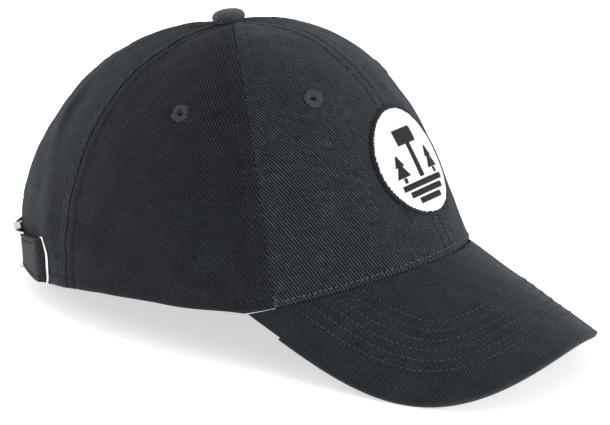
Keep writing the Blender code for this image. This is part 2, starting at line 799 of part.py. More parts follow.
def build_eyelet(row, thread, targets):
    turn = np.array([math.radians(row.turn)])
    tall = np.array([row.tall])
    origin = crown(turn, tall)[0]
    axis = crown_normal(turn, tall)[0]
    profile = (
        (EYELET_HOLE, GAP + 0.05),
        (EYELET_RADIUS, GAP + 0.05),
        (EYELET_RADIUS + 0.1, GAP + 0.45),
        (EYELET_RADIUS - 0.9, GAP + 1.0),
        (EYELET_HOLE + 0.6, GAP + 0.9),
    )
    ring("eyelet_" + row.name, origin, axis, profile, 14, thread)
    hole = ((0.0, 4.0), (EYELET_HOLE, 4.0), (EYELET_HOLE, -5.0), (0.0, -5.0))
    middle = hole[1:-1]
    points, faces = turned(origin, axis, middle, 12)
    count = len(middle)
    faces.append(tuple(side * count for side in range(12)))
    faces.append(tuple(side * count + count - 1 for side in reversed(range(12))))
    tool = cutter("hole_" + row.name, points, faces)
    cut(targets["panel_" + row.name], tool)


def build_slot_cut(target):
    centre, ahead, normal, upward = slot_axes()
    outline = slot_outline(SLOT_HALF, SLOT_TALL, SLOT_CORNER)
    points = []
    for along, up in outline:
        base = centre + along * ahead + up * upward
        points.append(base + 5.0 * normal)
        points.append(base - 7.0 * normal)
    count = len(outline)
    faces = [(2 * i, 2 * i + 1, (2 * i + 3) % (2 * count), (2 * i + 2) % (2 * count)) for i in range(count)]
    faces.append(tuple(2 * i for i in range(count)))
    faces.append(tuple(2 * i + 1 for i in reversed(range(count))))
    cut(target, cutter("slot_hole", points, faces))


def build_button(cloth):
    angles = np.radians(np.arange(0.0, 360.0, 10.0))
    around = smooth_crown(angles, tip_tall(angles) - 0.012)
    seat = float(np.max(around[:, 2])) + GAP
    origin = np.array([APEX_FORWARD, 0.0, seat])
    dome = [(0.0, BUTTON_HEIGHT)]
    for step in range(1, 7):
        angle = math.radians(90.0 - 19.5 * step)
        radius = BUTTON_RADIUS * math.cos(angle) ** 0.8 if math.cos(angle) > 0 else 0.0
        dome.append((radius, 0.45 * BUTTON_HEIGHT + 0.55 * BUTTON_HEIGHT * math.sin(angle)))
    profile = dome[:6]
    profile.append((0.93 * BUTTON_RADIUS, 0.12 * BUTTON_HEIGHT))
    profile.append((0.80 * BUTTON_RADIUS, 0.0))
    profile.append((BUTTON_STEM, 0.0))
    profile.append((BUTTON_STEM, -4.2))
    profile.append((0.0, -4.2))
    knob("top_button", origin, (0.0, 0.0, 1.0), profile, 22, cloth)


def principled(name, colour, roughness, metallic=0.0):
    material = bpy.data.materials.new(name)
    material.use_nodes = True
    shader = material.node_tree.nodes["Principled BSDF"]
    shader.inputs["Base Color"].default_value = (*colour, 1.0)
    shader.inputs["Roughness"].default_value = roughness
    shader.inputs["Metallic"].default_value = metallic
    material.diffuse_color = (*colour, 1.0)
    return material


for old in list(bpy.data.objects):
    bpy.data.objects.remove(old, do_unlink=True)

CLOTH_BLACK = principled("black_twill", (0.028, 0.031, 0.037), 0.9)
CLOTH_PEAK = principled("peak_twill", (0.028, 0.031, 0.037), 0.9)
THREAD_GREY = principled("grey_thread", (0.06, 0.065, 0.075), 0.8)
FIELD_WHITE = principled("white_field", (0.85, 0.85, 0.84), 0.8)
EDGE_BLACK = principled("badge_edge_thread", (0.02, 0.021, 0.024), 0.8)
METAL_BRIGHT = principled("bright_metal", (0.75, 0.75, 0.74), 0.25, 1.0)

FRAME = bpy.data.objects.new("crown_frame", None)
bpy.context.scene.collection.objects.link(FRAME)

ARCH_TURN = arch_half_turn()
BACK_FOOT = smooth_crown(np.array(math.pi), 0.0)
REST_LEVEL = float(BACK_FOOT[0] * math.sin(REST_PITCH) + BACK_FOOT[2] * math.cos(REST_PITCH))

front_turns = [8, 16, 24, 32, 40, 48, 54]
side_turns = [65, 70, 75, 81, 87, 93, 99, 105, 112]
arch_turns = [180.0 - ARCH_TURN * math.cos(math.radians(a)) for a in (0, 12, 24, 36, 48, 60, 72)]
rear_turns = [124, 128.5, 132.5, 136.5, 141, 147] + arch_turns + [175.0]

panels = {}
for side, sign in (("right", 1.0), ("left", -1.0)):
    spans = (
        ("panel_front_", 0.0, SIDE_SEAM, front_turns),
        ("panel_side_", SIDE_SEAM, REAR_SEAM, side_turns),
        ("panel_rear_", REAR_SEAM, 180.0, rear_turns),
    )
    for stem, start, end, columns in spans:
        turns = [sign * c for c in columns]
        ends = (sign * start, sign * end)
        if sign < 0.0:
            turns = turns[::-1]
            ends = ends[::-1]
        name = stem + side
        panels[name] = panel(name, ends[0], ends[1], turns, CLOTH_BLACK)

build_peak(CLOTH_PEAK)
build_button(CLOTH_BLACK)
for eyelet in EYELETS:
    build_eyelet(eyelet, THREAD_GREY, panels)
field_radii = (BADGE_RADIUS / 3.0, BADGE_RADIUS / 1.5, BADGE_RADIUS - 0.6, BADGE_RADIUS)
field_tops = (GAP + BADGE_THICK,) * 3 + (GAP + 0.5 * BADGE_THICK,)
crown_ring("badge_field", field_radii, GAP, field_tops, 28, FIELD_WHITE, closed_middle=True)
edge_inside = BADGE_RADIUS + GAP
edge_radii = (edge_inside, 0.5 * (edge_inside + BADGE_EDGE), BADGE_EDGE)
edge_tops = (GAP + BADGE_THICK, GAP + 1.5 * BADGE_THICK, GAP + 0.5 * BADGE_THICK)
crown_ring("badge_edge", edge_radii, GAP, edge_tops, 28, EDGE_BLACK)

pairs = strap_pairs()
flats = [i for i, row in enumerate(STRAP) if FLAT_FROM < row.turn < FLAT_TO]
ribbon("strap", pairs, STRAP_THICK, CLOTH_BLACK, flats)
build_buckle(METAL_BRIGHT)
build_loop(CLOTH_BLACK)
build_slot_cut(panels["panel_rear_right"])
build_slot_rim(METAL_BRIGHT)

# The whole cap is pitched to its resting angle and stood on the origin's plane.
FRAME.rotation_euler = (-REST_PITCH, 0.0, 0.0)
bpy.context.view_layer.update()
low = Vector((1e9, 1e9, 1e9))
high = Vector((-1e9, -1e9, -1e9))
for thing in bpy.context.scene.objects:
    if thing.type != "MESH" or thing.hide_render:
        continue
    for vertex in thing.data.vertices:
        place = thing.matrix_world @ vertex.co
        low = Vector(map(min, low, place))
        high = Vector(map(max, high, place))
FRAME.location = Vector((-0.5 * (low.x + high.x), -0.5 * (low.y + high.y), -low.z))
bpy.context.view_layer.update()
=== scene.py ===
"""Looks of the six-panel twill cap: fine cloth, thread, badge, strap, metal, floor, light, camera.

The crown is worked out in its own frame in millimetres: forward, right (the wearer's right)
and up from the hem. REST_PITCH and CROWN_PLACE put that frame on the table, in metres.
"""
import math
from collections import namedtuple

import bmesh
import bpy
import numpy as np
from mathutils import Matrix, Vector


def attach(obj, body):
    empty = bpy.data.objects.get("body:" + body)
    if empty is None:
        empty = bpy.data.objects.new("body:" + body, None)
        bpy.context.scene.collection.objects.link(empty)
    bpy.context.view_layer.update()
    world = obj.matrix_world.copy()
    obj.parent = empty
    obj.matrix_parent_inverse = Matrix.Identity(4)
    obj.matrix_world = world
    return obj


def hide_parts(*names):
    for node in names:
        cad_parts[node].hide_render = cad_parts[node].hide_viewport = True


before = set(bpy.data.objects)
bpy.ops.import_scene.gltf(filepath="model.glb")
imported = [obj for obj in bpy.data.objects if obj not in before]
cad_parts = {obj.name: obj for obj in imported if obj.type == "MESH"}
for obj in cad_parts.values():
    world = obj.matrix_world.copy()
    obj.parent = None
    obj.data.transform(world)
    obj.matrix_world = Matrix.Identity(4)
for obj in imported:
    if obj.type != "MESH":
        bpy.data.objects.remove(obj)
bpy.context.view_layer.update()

MM = 0.001
REST_PITCH = math.radians(12.65)
CROWN_PLACE = (0.1624, 21.0133, 8.8345)

CLOTH = 1.8
FRONT_REACH = 104.95
BACK_REACH = 108.14
HALF_WIDTH = 77.67
CROWN_HEIGHT = 124.0
APEX_FORWARD = 6.66
SIDE_SEAM = 60.29
REAR_SEAM = 120.08
TIP_HOLE = 4.3

Section = namedtuple("Section", "turn lean rise reach drop")
SECTIONS = (
    Section(0, 0.192, 0.459, 0.709, -0.019),
    Section(60, -0.030, 0.550, 0.674, -0.028),
    Section(120, -0.001, 0.341, 0.746, 0.026),
    Section(180, -0.185, 0.367, 0.743, -0.078),
)

Fold = namedtuple("Fold", "turn tall slant turn_width tall_width depth")
FOLDS = (
    Fold(69.0, 0.24, -12.0, 4.6, 0.22, -2.3),
    Fold(80.0, 0.26, -8.0, 6.0, 0.20, 0.8),
    Fold(104.6, 0.205, 0.0, 6.5, 0.045, -2.0),
    Fold(109.0, 0.280, 0.0, 9.0, 0.035, 1.0),
    Fold(128.0, 0.20, 28.0, 3.6, 0.12, 1.1),
    Fold(146.0, 0.56, 52.0, 2.6, 0.10, 0.9),
    Fold(-72.0, 0.22, 10.0, 5.0, 0.20, -1.8),
    Fold(-102.0, 0.19, 0.0, 7.0, 0.05, -1.5),
    Fold(-133.0, 0.24, -20.0, 4.5, 0.13, 1.0),
    Fold(168.0, 0.50, 0.0, 7.0, 0.10, -1.2),
)

# Shallow dents and ripples that only the fine cloth has.
FINE_FOLDS = (
    Fold(67.5, 0.60, -10.0, 3.4, 0.17, -1.2),
    Fold(113.0, 0.165, 0.0, 7.0, 0.018, 0.6),
    Fold(112.0, 0.245, 0.0, 8.0, 0.020, -0.7),
    Fold(124.0, 0.120, 0.0, 5.0, 0.025, -0.5),
    Fold(94.0, 0.140, 30.0, 6.0, 0.030, -0.5),
)

PEAK_SLOPE = math.radians(36.13)
PEAK_BEND = 79.01
PEAK_ROOT = 17.33
PEAK_CORNER = 72.16
PEAK_HALF = PEAK_BEND * math.asin((PEAK_CORNER - 0.06) / PEAK_BEND)
PEAK_LENGTH = 68.35
PEAK_SIDE_POWER = 2.512
PEAK_TIP_POWER = 3.690
PEAK_THICK = 3.4
HEM_SLOPE = -0.158
HEM_BACK_DROP = -15.59
PEAK_GAP = 0.34
PEAK_EDGE_ROUND = 1.3
PEAK_ROWS = 6
PEAK_ROW_FIRST = 15.28
PEAK_ROW_STEP = 4.74

ARCH_HALF = 37.6
ARCH_HEIGHT = 42.5

Eyelet = namedtuple("Eyelet", "name turn tall")
EYELETS = (
    Eyelet("front_right", 35.8, 0.510),
    Eyelet("side_right", 83.65, 0.5405),
    Eyelet("front_left", -38.5, 0.525),
    Eyelet("side_left", -83.65, 0.5405),
)
EYELET_RADIUS = 4.3
EYELET_HOLE = 1.15
CUT_RADIUS = 1.6
CUT_REACH = 1.75

BADGE_TALL = 0.2764
BADGE_EDGE = 26.0
BADGE_STAND = 0.4
FIELD_RADIUS = 24.9

STRAP_THICK = 1.4
STRAP_WIDTH = 19.8
STRAP_HEM = 2.3
BUCKLE_WIDTH = 16.4
LEVER_START = -8.0
LEVER_END = 16.6
LEVER_THICK = 0.8
LEVER_CORNER = 1.6
LEVER_STAND = 1.9
LOOP_THICK = 1.1
# The loop's bends round the buckle's bar, along the buckle and outward from it.
LOOP_BENDS = (
    (-9.2, -1.62),
    (-10.8, -1.60),
    (-12.7, -1.62),
    (-13.6, -2.75),
    (-13.3, -4.25),
    (-11.9, -5.0),
)
Station = namedtuple("Station", "turn low high lift gather")
STRAP = (
    Station(117.0, -3.3, -3.3, 1.2, 0.0),
    Station(124.0, -3.3, -3.3, 1.1, 0.0),
    Station(130.0, -3.3, -3.3, 1.0, 0.0),
    Station(131.1, -3.0, -3.0, 1.0, 0.0),
    Station(133.5, 2.4, 2.4, 1.1, 0.0),
    Station(134.6, 2.8, 2.8, 1.3, 0.0),
    Station(138.0, 3.0, 2.7, 2.4, 1.0),
    Station(142.0, 3.3, 2.7, 4.2, 2.4),
    Station(145.0, 3.8, 2.9, 5.8, 3.3),
    Station(147.0, 4.0, 3.0, 6.8, 3.7),
    Station(161.0, 5.6, 2.6, 7.4, 3.8),
    Station(164.0, 6.8, 3.3, 7.4, 2.8),
    Station(168.0, 5.6, 2.1, 7.0, 1.4),
    Station(172.0, 3.8, 0.2, 5.8, 0.5),
    Station(176.0, 2.0, -1.3, 3.8, 0.0),
    Station(180.0, 0.9, -1.9, 1.8, 0.0),
    Station(184.0, 0.1, -1.5, 0.6, 0.0),
    Station(188.0, -0.3, -1.2, 0.4, 0.0),
    Station(193.0, -0.8, -1.4, 0.4, 0.0),
    Station(197.0, -1.0, -2.2, 0.4, 0.0),
    Station(200.5, -1.7, -3.3, 0.4, 0.0),
    Station(204.0, -3.1, -3.4, 0.4, 0.0),
    Station(208.0, -3.4, -3.4, 0.4, 0.0),
    Station(215.0, -3.4, -3.4, 0.4, 0.0),
    Station(222.0, -3.4, -3.4, 0.4, 0.0),
)
LOOP_WIDTH = 13.0
LOOP = (
    Station(160.2, -3.4, -3.8, 8.4, 0.0),
    Station(156.0, -3.5, -3.6, 7.6, 0.0),
    Station(150.0, -3.3, -3.3, 6.4, 0.0),
    Station(144.0, -3.3, -3.3, 5.4, 0.0),
)
BUCKLE_ENDS = (147.0, 161.0)

SLOT_TURN = 132.3
SLOT_HALF = 2.9
SLOT_RISE = 10.9
SLOT_TALL = 10.4
SLOT_DEPTH = 12.0
RIM_FRONT = 4.2
RIM_BACK = 2.9
RIM_TALL = 10.6

BUTTON_RADIUS = 7.4
BUTTON_HEIGHT = 6.0
BUTTON_PLACE = (5.8, 0.5)

# How far each row of stitches lies from its seam or edge.
SEAM_ROW = 5.6
HEM_ROW = 5.2
ARCH_ROW = 6.0
FRONT_ROW = 2.7

# How many points each row's line is worked out from.
SEAM_POINTS = 260
ARCH_POINTS = 260
HEM_POINTS = 300
FRONT_POINTS = 400

# Heights and depths, in millimetres, of the relief that sewing gives the cloth.
SEAM_VALLEY = 0.20
SEAM_LIP = 0.16
SEAM_LAND = 0.26
SEAM_GROOVE = 0.15
SEAM_PUCKER = 0.11
HEM_FOLD = 0.30
HEM_GROOVE = 0.22
HEM_PUCKER = 0.09
JOINT_DEPTH = 0.9
JOINT_PAD = 0.3
JOINT_GROOVE = 0.2
JOINT_PUCKER = 0.12
PEAK_GROOVE = 0.20

# The share of the crown's soft waves that the stiff peak shows.
PEAK_WAVES = 0.8

# The camera in the crown's frame, found by fitting the cap to the photograph.
VIEW_TURN = math.radians(58.550)
VIEW_RISE = math.radians(10.2618)
VIEW_ROLL = math.radians(-7.4259)
VIEW_DISTANCE = 1300.0
VIEW_CENTRE = (20.0, 0.0, 50.0)
VIEW_SCALE = 2.228136
VIEW_MIDDLE = (278.377, 183.336)
PHOTO_SIZE = (610.0, 425.0)
SENSOR = 36.0


def bell(value):
    return np.exp(-0.5 * value * value)


def mound(value, wide):
    """1 at nought, and fading to nothing on both sides within about twice the width."""
    return np.exp(-((value / wide) ** 2))


def ease(value, low, high):
    """0 below low, 1 above high, and smooth between them."""
    t = np.clip((value - low) / (high - low), 0.0, 1.0)
    return t * t * (3.0 - 2.0 * t)


def unit(vectors):
    return vectors / np.linalg.norm(vectors, axis=-1, keepdims=True)


def running(steps):
    """How far each point of a line lies from its first one."""
    return np.concatenate([[0.0], np.cumsum(steps)])


def to_world(points):
    """Points of the crown's frame, in millimetres, as places on the table, in metres."""
    forward, right, up = np.moveaxis(np.asarray(points, dtype=float), -1, 0)
    cosine = math.cos(REST_PITCH)
    sine = math.sin(REST_PITCH)
    x = CROWN_PLACE[0] - right
    y = CROWN_PLACE[1] - forward * cosine + up * sine
    z = CROWN_PLACE[2] + forward * sine + up * cosine
    return MM * np.stack([x, y, z], axis=-1)


# The crown's form, as in the part's source.
def section_shape(turn):
    """Lean, rise, reach and drop of the crown's upright section at a turn."""
    rows = np.radians([row.turn for row in SECTIONS])
    waves = np.array([[math.cos(k * angle) for k in range(4)] for angle in rows])
    values = np.array([row[1:] for row in SECTIONS])
    weights = np.linalg.solve(waves, values)
    here = np.stack([np.cos(k * turn) for k in range(4)], axis=-1)
    return here @ weights


def plan(turn):
    """Forward and right of the hem at a turn, seen from above."""
    reach = np.where(np.cos(turn) > 0.0, FRONT_REACH, BACK_REACH)
    return reach * np.cos(turn), HALF_WIDTH * np.sin(turn)


def hem_height(forward, right):
    """The crown's lower edge: on the peak's surface in front, and the open hem behind."""
    side = np.minimum(np.abs(right), PEAK_CORNER)
    sag = PEAK_BEND - np.sqrt(PEAK_BEND ** 2 - side ** 2)
    over_peak = PEAK_ROOT - math.tan(PEAK_SLOPE) * (forward - FRONT_REACH) - sag / math.cos(PEAK_SLOPE)
    corner = FRONT_REACH * math.sqrt(1.0 - (PEAK_CORNER / HALF_WIDTH) ** 2)
    corner_sag = PEAK_BEND - math.sqrt(PEAK_BEND ** 2 - PEAK_CORNER ** 2)
    corner_height = PEAK_ROOT - math.tan(PEAK_SLOPE) * (corner - FRONT_REACH)
    corner_height = corner_height - corner_sag / math.cos(PEAK_SLOPE)
    behind = np.clip(-forward / BACK_REACH, 0.0, 1.0)
    open_hem = HEM_SLOPE * (forward - corner) + HEM_BACK_DROP * behind ** 2 + corner_height
    on_peak = (forward > 0.0) & (np.abs(right) < PEAK_CORNER)
    return np.where(on_peak, over_peak, open_hem)


def smooth_crown(turn, tall):
    """A point of the crown without its folds; tall goes from 0 at the hem to 1 at the top."""
    turn = np.asarray(turn, dtype=float)
    tall = np.asarray(tall, dtype=float)
    lean, rise, reach, drop = np.moveaxis(section_shape(turn), -1, 0)
    forward, right = plan(turn)
    hem = hem_height(forward, right)
    height = CROWN_HEIGHT - hem
    t = np.clip(tall, 0.0, 1.0)
    s = 1.0 - t
    share = s ** 3 + 3.0 * s * s * t * (1.0 - lean) + 3.0 * s * t * t * reach
    up = s ** 3 * hem + 3.0 * s * s * t * (hem + rise * height)
    up = up + 3.0 * s * t * t * (CROWN_HEIGHT - drop * height) + t ** 3 * CROWN_HEIGHT
    up = up + 100.0 * np.minimum(tall, 0.0)
    return np.stack([APEX_FORWARD + (forward - APEX_FORWARD) * share, right * share, up], axis=-1)


def crown_normal(turn, tall):
    """The crown's outward direction, from the smooth form."""
    step = 0.004
    high = np.clip(np.asarray(tall, dtype=float), 0.006, 0.985)
    along = smooth_crown(turn + step, high) - smooth_crown(turn - step, high)
    upward = smooth_crown(turn, high + step) - smooth_crown(turn, high - step)
    normal = unit(np.cross(upward, along))
    outward = smooth_crown(turn, high)[..., 0] * normal[..., 0]
    outward = outward + smooth_crown(turn, high)[..., 1] * normal[..., 1] + 200.0 * normal[..., 2]
    return normal * np.sign(outward)[..., None]


def fold_height(turn, tall):
    """How far the folds lift or press the cloth at a point."""
    total = np.zeros(np.broadcast(turn, tall).shape)
    degrees = np.degrees(turn)
    for fold in FOLDS + FINE_FOLDS:
        middle = fold.turn + fold.slant * (tall - fold.tall)
        away = (degrees - middle + 180.0) % 360.0 - 180.0
        spot = bell(away / fold.turn_width) * bell((tall - fold.tall) / fold.tall_width)
        total = total + fold.depth * spot
    return total


def crown(turn, tall, stand=0.0):
    """A point that stands off the crown's outer face, folds and soft waves included."""
    turn, tall = np.broadcast_arrays(np.asarray(turn, dtype=float), np.asarray(tall, dtype=float))
    base = smooth_crown(turn, tall)
    lift = fold_height(turn, tall) + soft_waves(base) + stand
    return base + crown_normal(turn, tall) * lift[..., None]


def tall_at(turn, rise):
    """The tall value that lies a given rise over the hem."""
    low = np.zeros(np.shape(turn))
    high = np.full(np.shape(turn), 0.6)
    hem = smooth_crown(turn, 0.0)[..., 2]
    for _ in range(40):
        middle = 0.5 * (low + high)
        under = smooth_crown(turn, middle)[..., 2] - hem < rise
        low = np.where(under, middle, low)
        high = np.where(under, high, middle)
    return np.where(np.asarray(rise) <= 0.0, 0.0, 0.5 * (low + high))


def tip_tall(turn):
    """The tall value where the cloth meets the hole under the button."""
    low = np.full(np.shape(turn), 0.7)
    high = np.ones(np.shape(turn))
    for _ in range(40):
        middle = 0.5 * (low + high)
        point = smooth_crown(turn, middle)
        wide = np.hypot(point[..., 0] - APEX_FORWARD, point[..., 1]) > TIP_HOLE
        low = np.where(wide, middle, low)
        high = np.where(wide, high, middle)
    return low


def wave_table(seed, count, shortest, longest):
    """Directions, phases and sizes of the waves that make one soft, uneven surface."""
    source = np.random.default_rng(seed)
    ways = unit(source.normal(size=(count, 3)))
    lengths = np.exp(source.uniform(math.log(shortest), math.log(longest), count))
    phases = source.uniform(0.0, 2.0 * math.pi, count)
    return ways * (2.0 * math.pi / lengths)[:, None], phases, lengths / longest


WAVES = wave_table(11, 22, 9.0, 34.0)
WAVE_HEIGHT = 0.16


def soft_waves(points):
    """The cloth's slight unevenness, a few tenths of a millimetre."""
    ways, phases, sizes = WAVES
    flat = points.reshape(-1, 3) @ ways.T + phases
    total = (np.sin(flat) * sizes).sum(axis=1) / math.sqrt(0.5 * (sizes ** 2).sum())
    return WAVE_HEIGHT * total.reshape(points.shape[:-1])


def arch_half_turn():
    """Half the back opening's width, as degrees of turn."""
    angles = np.radians(np.linspace(180.0, 120.0, 601))
    forward, right = plan(angles)
    along = running(np.hypot(np.diff(forward), np.diff(right)))
    return 180.0 - float(np.interp(ARCH_HALF, along, np.degrees(angles)))


ARCH_TURN = arch_half_turn()


def arch_rise(turn):
    """How high the back opening's edge stands over the hem; 0 outside the opening."""
    away = np.abs((np.degrees(turn) % 360.0) - 180.0)
    share = np.clip(away / ARCH_TURN, 0.0, 1.0)
    return ARCH_HEIGHT * np.sqrt(1.0 - share * share)


def per_turn(turn, tall):
    """Millimetres along the cloth for each radian of turn."""
    step = 0.002
    reach = smooth_crown(turn + step, tall) - smooth_crown(turn - step, tall)
    return np.linalg.norm(reach, axis=-1) / (2.0 * step)


# Meshes.
def grid_mesh(name, sheets, masks=None, closed=False, uv=None, worn=None):
    """A mesh of an outer and an inner grid, with walls round their edges and their holes."""
    outer = sheets[0]
    rows, columns = outer.shape[:2]
    spans = columns if closed else columns - 1
    keep = np.ones((rows - 1, spans), dtype=bool) if masks is None else masks
    index = np.arange(rows * columns).reshape(rows, columns)
    after = np.roll(index, -1, axis=1)
    here = index[:, :spans]
    there = after[:, :spans]
    quads = np.stack([here[:-1], there[:-1], there[1:], here[1:]], axis=-1)[keep]
    faces = [quads]
    shift = rows * columns
    if len(sheets) > 1:
        faces.append(quads[:, ::-1] + shift)
        rim = np.zeros((1, spans), dtype=bool)
        up = np.concatenate([rim, keep]) != np.concatenate([keep, rim])
        a = here[up]
        b = there[up]
        faces.append(np.stack([a, b, b + shift, a + shift], axis=-1))
        if not closed:
            side = np.zeros((rows - 1, 1), dtype=bool)
            across = np.concatenate([side, keep], axis=1) != np.concatenate([keep, side], axis=1)
            a = index[:-1][across]
            b = index[1:][across]
            faces.append(np.stack([a, b, b + shift, a + shift], axis=-1))
    points = np.concatenate([sheet.reshape(-1, 3) for sheet in sheets])
    return mesh_of(name, to_world(points), np.concatenate(faces), uv, worn, len(sheets))


def mesh_of(name, places, faces, uv=None, worn=None, repeats=1):
    mesh = bpy.data.meshes.new(name)
    mesh.from_pydata(places.tolist(), [], [list(map(int, f)) for f in faces])
    if uv is not None:
        layer = mesh.uv_layers.new(name="weave")
        flat = np.tile(uv.reshape(-1, 2), (repeats, 1))
        loops = np.zeros(len(mesh.loops), dtype=np.int32)
        mesh.loops.foreach_get("vertex_index", loops)
        layer.data.foreach_set("uv", flat[loops].astype(np.float32).ravel())
    if worn is not None:
        values = np.tile(worn.ravel(), repeats).astype(np.float32)
        mesh.attributes.new("worn", "FLOAT", "POINT").data.foreach_set("value", values)
    work = bmesh.new()
    work.from_mesh(mesh)
    loose = [v for v in work.verts if not v.link_faces]
    bmesh.ops.delete(work, geom=loose, context="VERTS")
    bmesh.ops.recalc_face_normals(work, faces=work.faces)
    work.to_mesh(mesh)
    work.free()
    mesh.shade_smooth()
    return mesh


def place_piece(name, mesh, material, replaces=()):
    mesh.materials.append(material)
    thing = bpy.data.objects.new(name, mesh)
    bpy.context.scene.collection.objects.link(thing)
    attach(thing, "root")
    if replaces:
        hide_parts(*replaces)
    return thing


# Materials.
def add_node(tree, kind, **settings):
    node = tree.nodes.new(kind)
    for key, value in settings.items():
        setattr(node, key, value)
    return node


def math_node(tree, operation, first, second=None):
    node = add_node(tree, "ShaderNodeMath", operation=operation)
    for socket, value in zip(node.inputs, (first, second)):
        if value is None:
            continue
        if isinstance(value, (int, float)):
            socket.default_value = value
        else:
            tree.links.new(value, socket)
    return node.outputs[0]


def dot_with(tree, vector, way):
    """The part of a vector along one direction."""
    node = add_node(tree, "ShaderNodeVectorMath", operation="DOT_PRODUCT")
    tree.links.new(vector, node.inputs[0])
    node.inputs[1].default_value = way
    return node.outputs["Value"]


def noise(tree, vector, scale, detail, roughness=0.5):
    node = add_node(tree, "ShaderNodeTexNoise")
    node.inputs["Scale"].default_value = scale
    node.inputs["Detail"].default_value = detail
    node.inputs["Roughness"].default_value = roughness
    tree.links.new(vector, node.inputs["Vector"])
    return node.outputs["Fac"]


def new_material(name, colour, roughness, metallic=0.0):
    material = bpy.data.materials.new(name)
    material.use_nodes = True
    shader = material.node_tree.nodes["Principled BSDF"]
    shader.inputs["Base Color"].default_value = (*colour, 1.0)
    shader.inputs["Roughness"].default_value = roughness
    shader.inputs["Metallic"].default_value = metallic
    return material, material.node_tree, shader


def add_bump(tree, shader, height, strength, distance):
    bump = add_node(tree, "ShaderNodeBump")
    bump.inputs["Strength"].default_value = strength
    bump.inputs["Distance"].default_value = distance
    tree.links.new(height, bump.inputs["Height"])
    tree.links.new(bump.outputs["Normal"], shader.inputs["Normal"])


def tinted(tree, shader, tone, spread, colour):
    """Base colour as the colour times spread to the power of tone."""
    power = math_node(tree, "POWER", spread, tone)
    scaled = add_node(tree, "ShaderNodeVectorMath", operation="SCALE")
    scaled.inputs[0].default_value = colour
    tree.links.new(power, scaled.inputs["Scale"])
    tree.links.new(scaled.outputs["Vector"], shader.inputs["Base Color"])


def twill(name, colour, lean, pitch, contrast, brushed, depth, sheen):
    """Brushed cotton twill. Lean is how many degrees its ribs lean from the weave map's upward axis."""
    material, tree, shader = new_material(name, colour, 0.95)
    shader.inputs["Sheen Weight"].default_value = sheen
    shader.inputs["Sheen Roughness"].default_value = 0.42
    shader.inputs["Sheen Tint"].default_value = (0.86, 0.93, 1.0, 1.0)
    shader.inputs["Specular IOR Level"].default_value = 0.18
    where = add_node(tree, "ShaderNodeUVMap", uv_map="weave").outputs["UV"]
    cosine, sine = math.cos(math.radians(lean)), math.sin(math.radians(lean))
    across = dot_with(tree, where, (cosine, -sine, 0.0))
    along = dot_with(tree, where, (sine, cosine, 0.0))
    wander = math_node(tree, "MULTIPLY", noise(tree, where, 0.22, 2.0), 3.2)
    ribs = math_node(tree, "MULTIPLY", across, 2.0 * math.pi / pitch)
    ribs = math_node(tree, "SINE", math_node(tree, "ADD", ribs, wander))
    floats = math_node(tree, "MULTIPLY", along, 1.0 / pitch)
    floats = math_node(tree, "ADD", floats, math_node(tree, "MULTIPLY", across, 0.55))
    floats = math_node(tree, "SINE", math_node(tree, "MULTIPLY", floats, 2.0 * math.pi * 1.35))
    weave = math_node(tree, "ADD", ribs, math_node(tree, "MULTIPLY", floats, 0.28))
    stretch = add_node(tree, "ShaderNodeCombineXYZ")
    tree.links.new(math_node(tree, "MULTIPLY", across, 0.95), stretch.inputs[0])
    tree.links.new(math_node(tree, "MULTIPLY", along, 0.30), stretch.inputs[1])
    streaks = math_node(tree, "SUBTRACT", noise(tree, stretch.outputs[0], 1.0, 2.0, 0.6), 0.5)
    fluff = math_node(tree, "SUBTRACT", noise(tree, where, 1.7, 3.0, 0.75), 0.5)
    patches = math_node(tree, "SUBTRACT", noise(tree, where, 0.09, 3.0, 0.6), 0.5)
    worn = add_node(tree, "ShaderNodeAttribute", attribute_name="worn").outputs["Fac"]
    tone = math_node(tree, "MULTIPLY", weave, contrast)
    tone = math_node(tree, "ADD", tone, math_node(tree, "MULTIPLY", streaks, 1.6 * contrast))
    tone = math_node(tree, "ADD", tone, math_node(tree, "MULTIPLY", fluff, 2.0 * brushed))
    tone = math_node(tree, "ADD", tone, math_node(tree, "MULTIPLY", patches, brushed))
    # Tone raised towards seams and cut edges, from the mesh attribute.
    tone = math_node(tree, "ADD", tone, worn)
    tinted(tree, shader, tone, 3.0, colour)
    height = math_node(tree, "ADD", weave, math_node(tree, "MULTIPLY", fluff, 2.2))
    add_bump(tree, shader, height, 0.55, depth * MM)
    return material


def thread(name, colour, pitch, sheen, specks):
    """Twisted or satin-stitched thread, its strands across the weave map's first axis."""
    material, tree, shader = new_material(name, colour, 0.75)
    shader.inputs["Sheen Weight"].default_value = sheen
    shader.inputs["Sheen Roughness"].default_value = 0.4
    shader.inputs["Specular IOR Level"].default_value = 0.3
    where = add_node(tree, "ShaderNodeUVMap", uv_map="weave").outputs["UV"]
    strands = math_node(tree, "SINE", dot_with(tree, where, (2.0 * math.pi / pitch, 0.0, 0.0)))
    fibres = math_node(tree, "SUBTRACT", noise(tree, where, 3.0, 2.0), 0.5)
    spots = add_node(tree, "ShaderNodeMapRange")
    spots.inputs["From Min"].default_value = 0.52
    spots.inputs["From Max"].default_value = 0.70
    tree.links.new(noise(tree, where, 0.42, 2.0, 0.6), spots.inputs["Value"])
    relief = math_node(tree, "ADD", math_node(tree, "MULTIPLY", strands, 0.35), fibres)
    tone = math_node(tree, "ADD", relief, math_node(tree, "MULTIPLY", spots.outputs["Result"], specks))
    tinted(tree, shader, tone, 2.2, colour)
    add_bump(tree, shader, relief, 0.5, 0.12 * MM)
    return material


